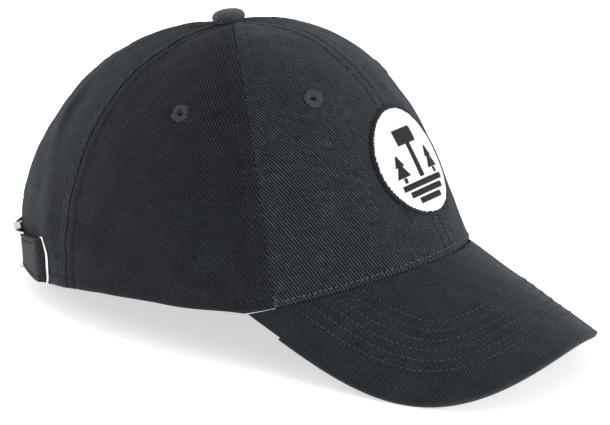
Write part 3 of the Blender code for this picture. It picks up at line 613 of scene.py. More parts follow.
def bright_metal():
    material, tree, shader = new_material("bright_metal", (0.78, 0.78, 0.76), 0.22, 1.0)
    where = add_node(tree, "ShaderNodeTexCoord").outputs["Object"]
    scratch = noise(tree, where, 900.0, 4.0, 0.6)
    rough = add_node(tree, "ShaderNodeMapRange")
    rough.inputs["To Min"].default_value = 0.16
    rough.inputs["To Max"].default_value = 0.34
    tree.links.new(scratch, rough.inputs["Value"])
    tree.links.new(rough.outputs["Result"], shader.inputs["Roughness"])
    add_bump(tree, shader, scratch, 0.15, 0.02 * MM)
    return material


# Cloth panels.
Gore = namedtuple("Gore", "name start end")
GORES = (
    Gore("front_right", 0.0, SIDE_SEAM),
    Gore("side_right", SIDE_SEAM, REAR_SEAM),
    Gore("rear_right", REAR_SEAM, 180.0),
    Gore("front_left", -SIDE_SEAM, 0.0),
    Gore("side_left", -REAR_SEAM, -SIDE_SEAM),
    Gore("rear_left", -180.0, -REAR_SEAM),
)
GRAIN_PULL = 0.2
SEAM_STEPS = (0.03, 0.3, 0.6, 0.95, 1.4, 2.0, 2.8, 3.6, 4.3, 4.8, 5.2, 5.6, 6.0, 6.4, 6.9, 7.6, 8.5)
EDGE_STEPS = (0.0, 0.08, 0.25, 0.5, 0.9, 1.4, 2.0, 2.6, 3.2, 3.9, 4.5, 5.0, 5.4, 5.9, 6.5, 7.3, 8.2)
TUCK_STEPS = (3.5, 2.4, 1.3, 0.6)
MIDDLE_COLUMNS = 64
MIDDLE_ROWS = 112
MAP_COLUMNS = 63
MAP_ROWS = 81


def middle_turns(gore, first, last):
    """The turns of a gore's middle columns, closer where the back opening's edge stands up."""
    count = MIDDLE_COLUMNS
    if "rear" not in gore.name:
        return np.linspace(first, last, count + 2)[1:-1]
    sign = 1.0 if gore.start > 0.0 else -1.0
    near = 180.0 - ARCH_TURN
    arch_angles = np.radians(np.linspace(0.0, 76.0, 44))
    arch = 180.0 - ARCH_TURN * np.cos(arch_angles)
    plain = np.linspace(REAR_SEAM + 6.5, near, 26)[:-1]
    arch = arch[arch < 180.0 - 6.5]
    turns = sign * np.concatenate([plain, arch])
    return np.radians(turns if sign > 0.0 else turns[::-1])


def edge_distance(turn, rise):
    """Distance to the open hem or to the back opening's edge."""
    away = np.abs((np.degrees(turn) % 360.0) - 180.0)
    x = np.maximum(away / ARCH_TURN, 1e-3)
    y = np.maximum(rise, 0.0) / ARCH_HEIGHT
    size = np.sqrt(x * x + y * y)
    slope = np.sqrt((x / ARCH_HALF) ** 2 + (y / ARCH_HEIGHT) ** 2) / size
    arch = np.maximum((size - 1.0) / slope, 0.0)
    return np.where(x >= 1.0, np.minimum(rise, arch), arch)


def seam_relief(distance, along, phase, proud):
    """The pressed-open seam: a fine valley, two padded lands and a row of stitches on each."""
    valley = -SEAM_VALLEY * mound(distance, 0.32)
    lip = SEAM_LIP * proud * mound(distance - 0.75, 0.55)
    land = SEAM_LAND * ease(distance, 0.1, 1.2) * (1.0 - ease(distance, SEAM_ROW - 1.6, SEAM_ROW + 0.7))
    row = -SEAM_GROOVE * mound(distance - SEAM_ROW, 0.45)
    pucker = np.sin(2.0 * math.pi * along / 5.7 + phase)
    pucker = pucker + 0.6 * np.sin(2.0 * math.pi * along / 9.1 + 2.0 * phase)
    pucker = SEAM_PUCKER * pucker * bell((distance - SEAM_ROW) / 1.9)
    return valley + lip + land + row + pucker


def hem_relief(distance, along):
    """The turned-up hem: a padded fold, its row of stitches and the puckers along the row."""
    fold = HEM_FOLD * ease(distance, 0.5, 1.8) * (1.0 - ease(distance, HEM_ROW - 1.0, HEM_ROW + 0.5))
    row = -HEM_GROOVE * mound(distance - HEM_ROW, 0.5)
    pucker = HEM_PUCKER * np.sin(2.0 * math.pi * along / 6.3) * bell((distance - HEM_ROW) / 1.8)
    return fold + row + pucker


def joint_relief(rise, along):
    """The front's foot: tucked in where it meets the peak, with a pad and a row over that."""
    joint = -JOINT_DEPTH * mound(np.maximum(rise, 0.0), 0.9)
    pad = JOINT_PAD * ease(rise, 0.7, 1.5) * (1.0 - ease(rise, FRONT_ROW - 0.3, FRONT_ROW + 0.8))
    row = -JOINT_GROOVE * mound(rise - FRONT_ROW, 0.5)
    pucker = JOINT_PUCKER * np.sin(2.0 * math.pi * along / 4.7) * bell((rise - FRONT_ROW) / 1.6)
    return joint + pad + row + pucker


def proud_side(seam, other):
    """Whether a gore's edge lies over its neighbour's at a seam: it does on the rear side."""
    if abs(seam) < 1.0 or abs(seam) > 179.0:
        return 0.0
    return 1.0 if abs(other) > abs(seam) else -0.6


def edge_rounding(distance):
    """How far a face draws in to round the cloth's cut edge."""
    half = 0.5 * CLOTH
    inside = np.clip(half - distance, 0.0, half)
    return half - np.sqrt(half * half - inside * inside)


def gore_map(gore, turn, tall):
    """Flat cloth coordinates in millimetres: across from the gore's middle, and up from the hem."""
    turns = np.radians(np.linspace(gore.start - 1.0, gore.end + 1.0, MAP_COLUMNS))
    talls = np.linspace(0.0, 1.0, MAP_ROWS)
    points = smooth_crown(turns[None, :], talls[:, None])
    across = np.linalg.norm(np.diff(points, axis=1), axis=-1)
    across = np.concatenate([np.zeros((MAP_ROWS, 1)), np.cumsum(across, axis=1)], axis=1)
    centre = MAP_COLUMNS // 2
    across = across - across[:, centre:centre + 1]
    middle = points[:, centre]
    up = running(np.linalg.norm(np.diff(middle, axis=0), axis=-1))
    column = (turn - turns[0]) / (turns[1] - turns[0])
    row = np.clip(tall, 0.0, 1.0) * (MAP_ROWS - 1)
    c = np.clip(column.astype(int), 0, MAP_COLUMNS - 2)
    r = np.clip(row.astype(int), 0, MAP_ROWS - 2)
    u = column - c
    v = row - r
    x = (1 - v) * ((1 - u) * across[r, c] + u * across[r, c + 1])
    x = x + v * ((1 - u) * across[r + 1, c] + u * across[r + 1, c + 1])
    y = np.interp(tall, talls, up) + 100.0 * np.minimum(tall, 0.0)
    if "side" in gore.name:
        y = y + GRAIN_PULL * np.maximum(y - 20.0, 0.0) * ease(y, 20.0, 75.0)
    return np.stack([x, y], axis=-1)


def gore_grid(gore):
    """Turn and tall of every grid point of a gore, and its distance from seam and edge."""
    start = math.radians(gore.start)
    end = math.radians(gore.end)
    steps = np.array(SEAM_STEPS)
    count = len(steps)
    seams = np.array([start, end])
    seam_rise = arch_rise(seams)
    low = tall_at(seams, seam_rise)
    wide = per_turn(seams, low)
    middle = middle_turns(gore, start + steps[-1] / wide[0], end - steps[-1] / wide[1])
    nominal = np.concatenate([start + steps / wide[0], middle, end - steps[::-1] / wide[1]])
    first = nominal[count - 1]
    last = nominal[-count]
    share = (middle - first) / (last - first)
    front = "front" in gore.name
    base = arch_rise(nominal)
    rows = []
    if front:
        for step in TUCK_STEPS:
            rows.append(np.full(nominal.shape, -step / 100.0))
    for step in EDGE_STEPS:
        rows.append(tall_at(nominal, base + step))
    reach = rows[-1]
    top = tip_tall(nominal)
    for part in np.linspace(0.0, 1.0, MIDDLE_ROWS + 1)[1:]:
        rows.append(reach + part * (top - reach))
    tall = np.stack(rows)
    turn = np.zeros_like(tall)
    for row in range(len(tall)):
        near = per_turn(start, tall[row, 0])
        far = per_turn(end, tall[row, -1])
        limit = 0.42 * abs(end - start)
        left = np.minimum(steps / near, limit * steps / steps[-1])
        right = np.minimum(steps / far, limit * steps / steps[-1])
        turn[row, :count] = start + left
        turn[row, -count:] = end - right[::-1]
        turn[row, count:-count] = turn[row, count - 1] + share * (turn[row, -count] - turn[row, count - 1])
    to_start = (turn - start) * per_turn(np.full(turn.shape, start), tall)
    to_end = (end - turn) * per_turn(np.full(turn.shape, end), tall)
    return turn, tall, np.minimum(to_start, to_end), to_start < to_end


def build_gore(gore, material):
    """One cloth panel, with its relief, rounded edges, holes, and colour lightened towards seams and cut
    edges.
    """
    turn, tall, to_seam, first_side = gore_grid(gore)
    flat = gore_map(gore, turn, tall)
    normal = crown_normal(turn, tall)
    front = "front" in gore.name
    base = smooth_crown(turn, tall)
    rise = base[..., 2] - smooth_crown(turn, 0.0)[..., 2]
    lift = fold_height(turn, tall) + soft_waves(base)
    proud = np.where(first_side, proud_side(gore.start, gore.end), proud_side(gore.end, gore.start))
    lift = lift + seam_relief(to_seam, flat[..., 1], np.where(first_side, 0.4, 2.1), proud)
    if front:
        lift = lift + np.where(rise > 0.0, joint_relief(rise, flat[..., 0]), -JOINT_DEPTH)
        inward = np.full(turn.shape, CLOTH)
        from_edge = rise
    else:
        from_edge = edge_distance(turn, rise)
        lift = lift + hem_relief(from_edge, flat[..., 0])
        round_off = edge_rounding(from_edge)
        lift = lift - round_off
        inward = CLOTH - 2.0 * round_off
    outer = base + lift[..., None] * normal
    inner = outer - inward[..., None] * normal
    masks = np.ones((turn.shape[0] - 1, turn.shape[1] - 1), dtype=bool)
    for eyelet in EYELETS:
        if eyelet.name == gore.name:
            cut_round(outer, inner, masks, eyelet)
    if gore.name == "rear_right":
        cut_slot(outer, inner, masks)
    # Colour lightened towards the seams and the cut edges.
    worn = 0.25 * np.exp(-to_seam / 0.9) + 0.45 * np.exp(-np.maximum(from_edge, 0.0) / 0.7)
    mesh = grid_mesh("cloth_" + gore.name, (outer, inner), masks, uv=flat, worn=worn)
    return place_piece("cloth_" + gore.name, mesh, material, ("panel_" + gore.name,))


def snap_hole(outer, inner, masks, inside, pull):
    """Takes out the cells inside a hole and draws the points round it onto its edge."""
    gone = inside[:-1, :-1] & inside[1:, :-1] & inside[:-1, 1:] & inside[1:, 1:]
    masks &= ~gone
    rim = np.zeros(inside.shape, dtype=bool)
    kept = np.zeros(inside.shape, dtype=bool)
    for rows in (slice(0, -1), slice(1, None)):
        for columns in (slice(0, -1), slice(1, None)):
            rim[rows, columns] |= gone
            kept[rows, columns] |= ~gone
    edge = rim & kept
    for sheet in (outer, inner):
        sheet[edge] += pull[edge]


def cut_round(outer, inner, masks, eyelet):
    """Cuts an eyelet's round hole through both faces of a gore."""
    turn = np.array([math.radians(eyelet.turn)])
    tall = np.array([eyelet.tall])
    centre = crown(turn, tall)[0]
    axis = crown_normal(turn, tall)[0]
    away = outer - centre
    flat = away - (away @ axis)[..., None] * axis
    radius = np.linalg.norm(flat, axis=-1)
    inside = radius < CUT_REACH
    pull = flat * ((CUT_RADIUS / np.maximum(radius, 0.05)) - 1.0)[..., None]
    snap_hole(outer, inner, masks, inside, pull)


def slot_axes():
    """Centre, forward, outward and upward directions of the slot."""
    turn = np.array([math.radians(SLOT_TURN)])
    tall = tall_at(turn, SLOT_RISE)
    normal = crown_normal(turn, tall)[0]
    centre = (smooth_crown(turn, tall) + fold_height(turn, tall)[..., None] * normal)[0]
    ahead = smooth_crown(turn - 0.01, tall)[0] - smooth_crown(turn + 0.01, tall)[0]
    ahead = ahead - np.dot(ahead, normal) * normal
    ahead = ahead / np.linalg.norm(ahead)
    upward = np.cross(normal, ahead)
    upward = upward * np.sign(upward[2])
    return centre, ahead, normal, upward


def cut_slot(outer, inner, masks):
    """Cuts the strap's slot through both faces of a gore."""
    centre, ahead, normal, upward = slot_axes()
    away = outer - centre
    along = away @ ahead
    up = away @ upward
    near = np.abs(away @ normal) < SLOT_DEPTH
    inside = (np.abs(along) < SLOT_HALF + 0.3) & (np.abs(up) < SLOT_TALL + 0.3) & near
    side = np.abs(along) / SLOT_HALF
    end = np.abs(up) / SLOT_TALL
    to_side = side > end
    target_along = np.where(to_side, np.sign(along) * (SLOT_HALF + 0.2), along)
    target_up = np.where(to_side, up, np.sign(up) * (SLOT_TALL + 0.2))
    pull = (target_along - along)[..., None] * ahead + (target_up - up)[..., None] * upward
    snap_hole(outer, inner, masks, inside, pull)


# Stitches. A stitch's rings: share of its length, height over the cloth, share of its radius.
STITCH_RINGS = (
    (0.0, -0.30, 0.35),
    (0.14, 0.10, 0.85),
    (0.5, 0.26, 1.0),
    (0.86, 0.10, 0.85),
    (1.0, -0.30, 0.35),
)


def stitch_tube(path, normals, start, pitch, length, radius, stray=0.0, seed=1):
    """Short threads that dip into the cloth at both ends, along a path with its normals."""
    along = running(np.linalg.norm(np.diff(path, axis=0), axis=1))
    total = along[-1]
    firsts = np.arange(start, total - length, pitch)
    source = np.random.default_rng(seed)
    lengths = length * (1.0 + 0.5 * stray * source.uniform(-1.0, 1.0, len(firsts)))
    shifts = 0.35 * stray * source.uniform(-1.0, 1.0, (len(firsts), 2))
    sides = 6
    points = []
    faces = []
    uvs = []
    for first, reach, (shift_start, shift_end) in zip(firsts, lengths, shifts):
        rings = []
        for share, height, size in STITCH_RINGS:
            at = first + share * reach
            centre = np.array([np.interp(at, along, path[:, k]) for k in range(3)])
            normal = np.array([np.interp(at, along, normals[:, k]) for k in range(3)])
            ahead = np.array([np.interp(at + 0.3, along, path[:, k]) for k in range(3)])
            back = np.array([np.interp(at - 0.3, along, path[:, k]) for k in range(3)])
            way = (ahead - back) / np.linalg.norm(ahead - back)
            normal = normal / np.linalg.norm(normal)
            across = np.cross(way, normal)
            aside = shift_start + share * (shift_end - shift_start)
            rings.append((centre + height * normal + aside * across, normal, across, size * radius, share))
        base = len(points)
        for centre, normal, across, size, share in rings:
            for side in range(sides):
                angle = 2.0 * math.pi * side / sides
                out = 0.8 * math.sin(angle) * normal + 1.15 * math.cos(angle) * across
                points.append(centre + size * out)
                uvs.append((first + share * reach + 0.35 * side / sides, side / sides + 7.0 * seed))
        for ring in range(len(rings) - 1):
            for side in range(sides):
                a = base + ring * sides + side
                b = base + ring * sides + (side + 1) % sides
                faces.append((a, b, b + sides, a + sides))
        last = base + (len(rings) - 1) * sides
        for corner in (base, last):
            for side in range(1, sides - 2, 2):
                faces.append((corner, corner + side, corner + side + 1, corner + side + 2))
    return points, faces, uvs


def join_stitches(name, runs, material):
    """All the stitches of several runs as one piece."""
    points = []
    faces = []
    uvs = []
    for run_points, run_faces, run_uvs in runs:
        base = len(points)
        points.extend(run_points)
        uvs.extend(run_uvs)
        faces.extend([tuple(v + base for v in face) for face in run_faces])
    mesh = mesh_of(name, to_world(np.array(points)), faces, np.array(uvs))
    return place_piece(name, mesh, material)


Sewing = namedtuple("Sewing", "pitch length radius stray")
CROWN_SEWING = Sewing(2.9, 1.9, 0.24, 0.35)
FRONT_SEWING = Sewing(2.35, 1.45, 0.32, 0.7)
TACK_SEWING = Sewing(1.25, 1.15, 0.22, 0.3)
PEAK_SEWING = Sewing(2.75, 2.0, 0.25, 0.15)
STRAP_SEWING = Sewing(2.6, 1.8, 0.24, 0.3)


def crown_run(turn, tall, stand, sewing=CROWN_SEWING, start=0.6, seed=1):
    """A run of stitches along a line on the crown."""
    path = crown(turn, tall, stand)
    normal = crown_normal(turn, tall)
    return stitch_tube(path, normal, start, sewing.pitch, sewing.length, sewing.radius, sewing.stray, seed)


def seam_runs():
    """Both rows beside each seam, from the hem or the opening's edge to the button."""
    runs = []
    for seam in (0.0, SIDE_SEAM, REAR_SEAM, 180.0, -REAR_SEAM, -SIDE_SEAM):
        angle = np.full(SEAM_POINTS, math.radians(seam))
        if abs(seam) < SIDE_SEAM + 1.0:
            low = tall_at(angle[:1], np.array([FRONT_ROW + 1.0]))[0]
        elif abs(seam) > 179.0:
            low = tall_at(angle[:1], np.array([ARCH_HEIGHT + ARCH_ROW]))[0]
        else:
            low = tall_at(angle[:1], np.array([1.2]))[0]
        high = float(tip_tall(angle[:1])[0]) - 0.02
        tall = np.linspace(low, high, SEAM_POINTS)
        for side in (-1.0, 1.0):
            turn = angle + side * SEAM_ROW / per_turn(angle, tall)
            keep = np.abs(turn - angle) < math.radians(27.0)
            runs.append(crown_run(turn[keep], tall[keep], -0.20, seed=len(runs) + 1))
    return runs


def hem_runs():
    """The row along each side's open hem, and the one round the back opening."""
    runs = []
    reach = 180.0 - ARCH_TURN - 8.0
    for sign in (1.0, -1.0):
        turn = np.radians(sign * np.linspace(SIDE_SEAM + 1.0, reach, HEM_POINTS))
        tall = tall_at(turn, np.full(HEM_POINTS, HEM_ROW))
        runs.append(crown_run(turn, tall, -0.18, seed=len(runs) + 21))
    angle = np.radians(np.linspace(4.0, 176.0, ARCH_POINTS))
    wide = ARCH_TURN * (1.0 + ARCH_ROW / ARCH_HALF)
    turn = math.pi + np.radians(wide * np.cos(angle))
    rise = (ARCH_HEIGHT + ARCH_ROW) * np.sin(angle)
    runs.append(crown_run(turn, tall_at(turn, rise), 0.02))
    return runs


def front_runs():
    """The row over the joint of the front panels and the peak."""
    turn = np.radians(np.linspace(-SIDE_SEAM + 1.5, SIDE_SEAM - 1.5, FRONT_POINTS))
    tall = tall_at(turn, np.full(FRONT_POINTS, FRONT_ROW))
    return [crown_run(turn, tall, 0.0, FRONT_SEWING, seed=31)]


def bar_tacks():
    """Three short rows that tie down the foot of each side seam."""
    runs = []
    for turn_at in (SIDE_SEAM - 0.4, -SIDE_SEAM + 0.4):
        for shift in (-0.45, 0.0, 0.45):
            turn = np.full(20, math.radians(turn_at)) + shift / 75.0
            tall = tall_at(turn, np.linspace(0.6, 5.6, 20))
            runs.append(crown_run(turn, tall, 0.22, TACK_SEWING, 0.1, len(runs) + 41))
    return runs


# The peak.
def peak_surface(x, y, depth):
    """A point of the peak at a depth under its top, bent round from its flat place."""
    bend = PEAK_BEND - depth
    side = bend * np.sin(x / PEAK_BEND)
    down = bend * np.cos(x / PEAK_BEND) - PEAK_BEND
    forward = FRONT_REACH + y * math.cos(PEAK_SLOPE) + down * math.sin(PEAK_SLOPE)
    up = PEAK_ROOT - y * math.sin(PEAK_SLOPE) + down * math.cos(PEAK_SLOPE)
    return np.stack([forward, side, up], axis=-1)


def peak_normal(x):
    """The peak's upward direction."""
    turn = x / PEAK_BEND
    ahead = np.cos(turn) * math.sin(PEAK_SLOPE)
    return np.stack([ahead, np.sin(turn), np.cos(turn) * math.cos(PEAK_SLOPE)], axis=-1)


def peak_root(x, depth, gap):
    """The flat place where the peak meets the crown's wall."""
    bend = PEAK_BEND - depth
    side = bend * np.sin(x / PEAK_BEND)
    down = bend * np.cos(x / PEAK_BEND) - PEAK_BEND
    inside = np.clip(1.0 - (side / (HALF_WIDTH + gap)) ** 2, 0.0, 1.0)
    wall = (FRONT_REACH + gap) * np.sqrt(inside)
    return (wall - FRONT_REACH - down * math.sin(PEAK_SLOPE)) / math.cos(PEAK_SLOPE)


def peak_edge(angle):
    """The peak's outline in the flat."""
    root = float(peak_root(np.array(PEAK_HALF), 0.0, 0.0))
    wide = np.sin(angle)
    x = PEAK_HALF * np.sign(wide) * np.abs(wide) ** (2.0 / PEAK_SIDE_POWER)
    y = root + (PEAK_LENGTH - root) * np.abs(np.cos(angle)) ** (2.0 / PEAK_TIP_POWER)
    return x, y


def peak_outline(count=721, limit=math.radians(89.0)):
    """The outline as points with their inward directions, in the flat."""
    angle = np.linspace(-limit, limit, count)
    x, y = peak_edge(angle)
    tangent_x = np.gradient(x)
    tangent_y = np.gradient(y)
    size = np.hypot(tangent_x, tangent_y)
    return x, y, tangent_y / size, -tangent_x / size


def peak_row(inset):
    """A line that keeps its distance from the outline and ends at the crown."""
    x, y, in_x, in_y = peak_outline()
    row_x = x + inset * in_x
    row_y = y + inset * in_y
    keep = row_y > peak_root(row_x, 0.0, PEAK_GAP) + 0.4
    keep &= np.abs(row_x) < PEAK_HALF - inset
    return row_x[keep], row_y[keep]


def outline_distance(x, y):
    """How far flat points lie from the peak's outline."""
    edge_x, edge_y, _, _ = peak_outline(361)
    flat_x = x.ravel()
    flat_y = y.ravel()
    best = np.full(flat_x.shape, 1e9)
    for start in range(0, len(flat_x), 4000):
        part = slice(start, start + 4000)
        away = np.hypot(flat_x[part, None] - edge_x, flat_y[part, None] - edge_y)
        best[part] = away.min(axis=1)
    return best.reshape(x.shape)


def build_peak(material):
    """The peak's cloth: top and underside with their rows, round a rounded edge."""
    spans = 240
    rows = 84
    limit = math.radians(88.0)
    angle = np.linspace(-limit, limit, spans + 1)
    edge_x, edge_y = peak_edge(angle)
    root_x = (PEAK_HALF - 1.2) * np.sin(angle) / math.sin(limit)
    shares = np.linspace(0.0, 1.0, rows)
    centre_y = 0.35 * edge_y
    length = np.hypot(edge_x, edge_y - centre_y)
    in_x = -edge_x / length
    in_y = (centre_y - edge_y) / length
    sheets = []
    flats = []
    for depth, side in ((0.0, 1.0), (PEAK_THICK, -1.0)):
        root_y = peak_root(root_x, depth, 0.06)
        stop_x = edge_x + in_x * PEAK_EDGE_ROUND
        stop_y = edge_y + in_y * PEAK_EDGE_ROUND
        x = root_x + shares[:, None] * (stop_x - root_x)
        y = root_y + shares[:, None] * (stop_y - root_y)
        away = outline_distance(x, y)
        relief = np.zeros(x.shape)
        for row in range(PEAK_ROWS):
            inset = PEAK_ROW_FIRST + row * PEAK_ROW_STEP
            relief = relief - PEAK_GROOVE * mound(away - inset, 0.55)
        relief = relief + soft_waves(peak_surface(x, y, depth)) * PEAK_WAVES
        relief = relief - 0.125 * mound(away - 2.4, 0.9)
        corner = []
        for turn in np.linspace(0.0, 0.5 * math.pi, 6)[1:]:
            inset = PEAK_EDGE_ROUND * (1.0 - math.sin(turn))
            deep = PEAK_EDGE_ROUND * (1.0 - math.cos(turn))
            corner.append((edge_x + in_x * inset, edge_y + in_y * inset, depth + side * deep))
        grid = []
        for i in range(rows):
            grid.append(peak_surface(x[i], y[i], depth) + side * relief[i][:, None] * peak_normal(x[i]))
        flat = [np.stack([x[i], y[i]], axis=-1) for i in range(rows)]
        for k, (round_x, round_y, at) in enumerate(corner):
            grid.append(peak_surface(round_x, round_y, at))
            flat.append(np.stack([edge_x, edge_y + k * 0.5], axis=-1))
        sheets.append(np.stack(grid))
        flats.append(np.stack(flat))
    away = outline_distance(flats[0][..., 0], flats[0][..., 1])
    # Colour lightened towards the peak's outline.
    worn = 0.5 * np.exp(-away / 0.8)
    mesh = grid_mesh("cloth_peak", sheets, uv=flats[0], worn=worn)
    return place_piece("cloth_peak", mesh, material, ("peak",))


def peak_runs():
    """The stitch rows on the peak's top and underside."""
    runs = []
    for row in range(PEAK_ROWS):
        x, y = peak_row(PEAK_ROW_FIRST + row * PEAK_ROW_STEP)
        top = peak_surface(x, y, 0.0)
        path = top + (soft_waves(top) * PEAK_WAVES - 0.13)[:, None] * peak_normal(x)
        runs.append(stitch_tube(path, peak_normal(x), 0.4 + 0.37 * row, *PEAK_SEWING, row + 51))
        under = peak_surface(x, y, PEAK_THICK) + 0.13 * peak_normal(x)
        runs.append(stitch_tube(under, -peak_normal(x), 0.4 + 0.37 * row, *PEAK_SEWING, row + 61))
    return runs


# Eyelets, badge and button.
def build_eyelet(eyelet, material):
    """A worked eyelet: flat satin stitches of uneven reach that turn down into the hole."""
    turn = np.array([math.radians(eyelet.turn)])
    tall = np.array([eyelet.tall])
    centre = crown(turn, tall)[0]
    axis = crown_normal(turn, tall)[0]
    first = np.cross((0.0, 0.0, 1.0), axis)
    first = first / np.linalg.norm(first)
    second = np.cross(axis, first)
    stitches = 40
    steps = 5
    angles = np.radians(np.arange(0.0, 360.0, 360.0 / (stitches * steps)))
    source = np.random.default_rng(int(abs(eyelet.turn) * 10.0))
    reaches = np.repeat(source.uniform(-0.75, 0.35, stitches), steps)
    heights = np.repeat(source.uniform(-0.06, 0.08, stitches), steps)
    ridge = np.tile(np.sin(math.pi * (np.arange(steps) + 0.5) / steps), stitches)
    wide = EYELET_RADIUS - EYELET_HOLE
    profile = ((1.0, -0.20, 1.0), (0.97, 0.06, 1.0), (0.80, 0.20, 0.9), (0.55, 0.28, 0.6), (0.32, 0.27, 0.3))
    profile += ((0.14, 0.12, 0.0), (0.03, -0.25, 0.0), (0.0, -0.9, 0.0), (0.05, -1.7, 0.0))
    profile += ((0.3, -2.1, 0.3), (0.75, -2.05, 0.8), (1.0, -1.75, 1.0))
    rows = []
    flat = []
    for k, (share, height, free) in enumerate(profile):
        reach = EYELET_HOLE + share * wide + free * reaches
        lift = height + (0.15 * ridge + heights) * (1.0 if height > 0.0 else 0.3)
        across = (reach * np.cos(angles))[:, None] * first + (reach * np.sin(angles))[:, None] * second
        rows.append(centre + across + lift[:, None] * axis)
        around = np.arange(stitches * steps) / steps * 1.7
        flat.append(np.stack([around, np.full(angles.shape, 0.8 * k)], axis=-1))
    name = "worked_eyelet_" + eyelet.name
    mesh = grid_mesh(name, (np.stack(rows),), closed=True, uv=np.stack(flat))
    return place_piece(name, mesh, material, ("eyelet_" + eyelet.name,))


def on_crown(u, w):
    """Turn and tall of the crown points under a flat disc laid at the badge's centre."""
    origin = smooth_crown(0.0, BADGE_TALL)
    normal = crown_normal(np.array(0.0), np.array(BADGE_TALL))
    level = np.array([0.0, 1.0, 0.0])
    upward = np.cross(normal, level)
    upward = upward * np.sign(upward[2])
    target = origin + u[..., None] * level + w[..., None] * upward
    turn = u / 100.0
    tall = BADGE_TALL + w / 160.0
    step = 0.001
    for _ in range(25):
        here = smooth_crown(turn, tall) - target
        by_turn = (smooth_crown(turn + step, tall) - smooth_crown(turn - step, tall)) / (2 * step)
        by_tall = (smooth_crown(turn, tall + step) - smooth_crown(turn, tall - step)) / (2 * step)
        a = np.sum(by_turn * level, axis=-1)
        b = np.sum(by_tall * level, axis=-1)
        c = np.sum(by_turn * upward, axis=-1)
        d = np.sum(by_tall * upward, axis=-1)
        e = np.sum(here * level, axis=-1)
        f = np.sum(here * upward, axis=-1)
        whole = a * d - b * c
        turn = turn - (d * e - b * f) / whole
        tall = tall - (a * f - c * e) / whole
    return turn, tall


def badge_points(u, w, stand):
    """Points of the badge's flat disc, laid on the crown and stood off it."""
    turn, tall = on_crown(u, w)
    return smooth_crown(turn, tall) + np.reshape(stand, np.shape(u) + (1,)) * crown_normal(turn, tall)


def build_badge_field(material):
    """The badge's white cloth."""
    sides = 160
    angles = np.radians(np.arange(sides) * 360.0 / sides)
    radii = np.concatenate([[0.02], np.linspace(1.0, FIELD_RADIUS, 29)])
    u = radii[:, None] * np.cos(angles)
    w = radii[:, None] * np.sin(angles)
    top = badge_points(u, w, np.full(u.shape, BADGE_STAND + 0.75))
    base = badge_points(u, w, np.full(u.shape, BADGE_STAND - 0.25))
    mesh = grid_mesh("badge_cloth", (top, base), closed=True, uv=np.stack([u, w], axis=-1))
    return place_piece("badge_cloth", mesh, material, ("badge_field",))


def build_badge_edge(material):
    """The overlocked edge: narrow satin stitches of uneven reach over the badge's rim."""
    winds = 260
    steps = 4
    angles = np.radians(np.arange(0.0, 360.0, 360.0 / (winds * steps)))
    source = np.random.default_rng(5)
    reaches = np.repeat(source.uniform(-0.28, 0.30, winds), steps)
    outward = np.repeat(source.uniform(-0.10, 0.10, winds), steps)
    ridge = np.tile(np.sin(math.pi * (np.arange(steps) + 0.5) / steps), winds)
    profile = ((FIELD_RADIUS - 0.55, 0.70, -1.0), (FIELD_RADIUS - 0.42, 0.92, -1.0))
    profile += ((FIELD_RADIUS + 0.05, 1.08, 0.0), (FIELD_RADIUS + 0.50, 1.02, 0.0))
    profile += ((BADGE_EDGE - 0.25, 0.70, 0.5), (BADGE_EDGE - 0.02, 0.20, 1.0))
    profile += ((BADGE_EDGE - 0.10, -0.35, 1.0), (FIELD_RADIUS + 0.2, -0.42, 0.0))
    profile += ((FIELD_RADIUS - 0.55, -0.30, 0.0), (FIELD_RADIUS - 0.55, 0.70, -1.0))
    rows = []
    flat = []
    for k, (radius, height, free) in enumerate(profile):
        out = radius + (reaches if free < 0.0 else outward * free)
        high = BADGE_STAND + height + (0.12 * ridge if height > 0.5 else 0.0)
        stand = np.full(angles.shape, high) if np.isscalar(high) else high
        rows.append(badge_points(out * np.cos(angles), out * np.sin(angles), stand))
        flat.append(np.stack([np.arange(winds * steps) / steps, np.full(angles.shape, 0.5 * k)], axis=-1))
    mesh = grid_mesh("badge_bead", (np.stack(rows),), closed=True, uv=np.stack(flat))
    return place_piece("badge_bead", mesh, material, ("badge_edge",))


# The badge's picture is a plain workshop one: a mallet between two fir trees over three boards.
Bar = namedtuple("Bar", "across_from up_from across_to up_to width_from width_to")
MOTIF = (
    Bar(-7.6, 11.2, 7.6, 11.2, 7.2, 7.2),
    Bar(0.0, 8.0, 0.0, -8.2, 3.0, 3.6),
    Bar(-12.6, 4.2, -12.6, -1.0, 0.4, 6.4),
    Bar(-12.6, 0.2, -12.6, -6.0, 1.6, 9.4),
    Bar(-12.6, -6.0, -12.6, -8.6, 2.0, 2.0),
    Bar(12.6, 4.2, 12.6, -1.0, 0.4, 6.4),
    Bar(12.6, 0.2, 12.6, -6.0, 1.6, 9.4),
    Bar(12.6, -6.0, 12.6, -8.6, 2.0, 2.0),
    Bar(-16.4, -10.6, 16.4, -10.6, 2.5, 2.5),
    Bar(-13.2, -14.2, 13.2, -14.2, 2.5, 2.5),
    Bar(-8.8, -17.8, 8.8, -17.8, 2.5, 2.5),
)


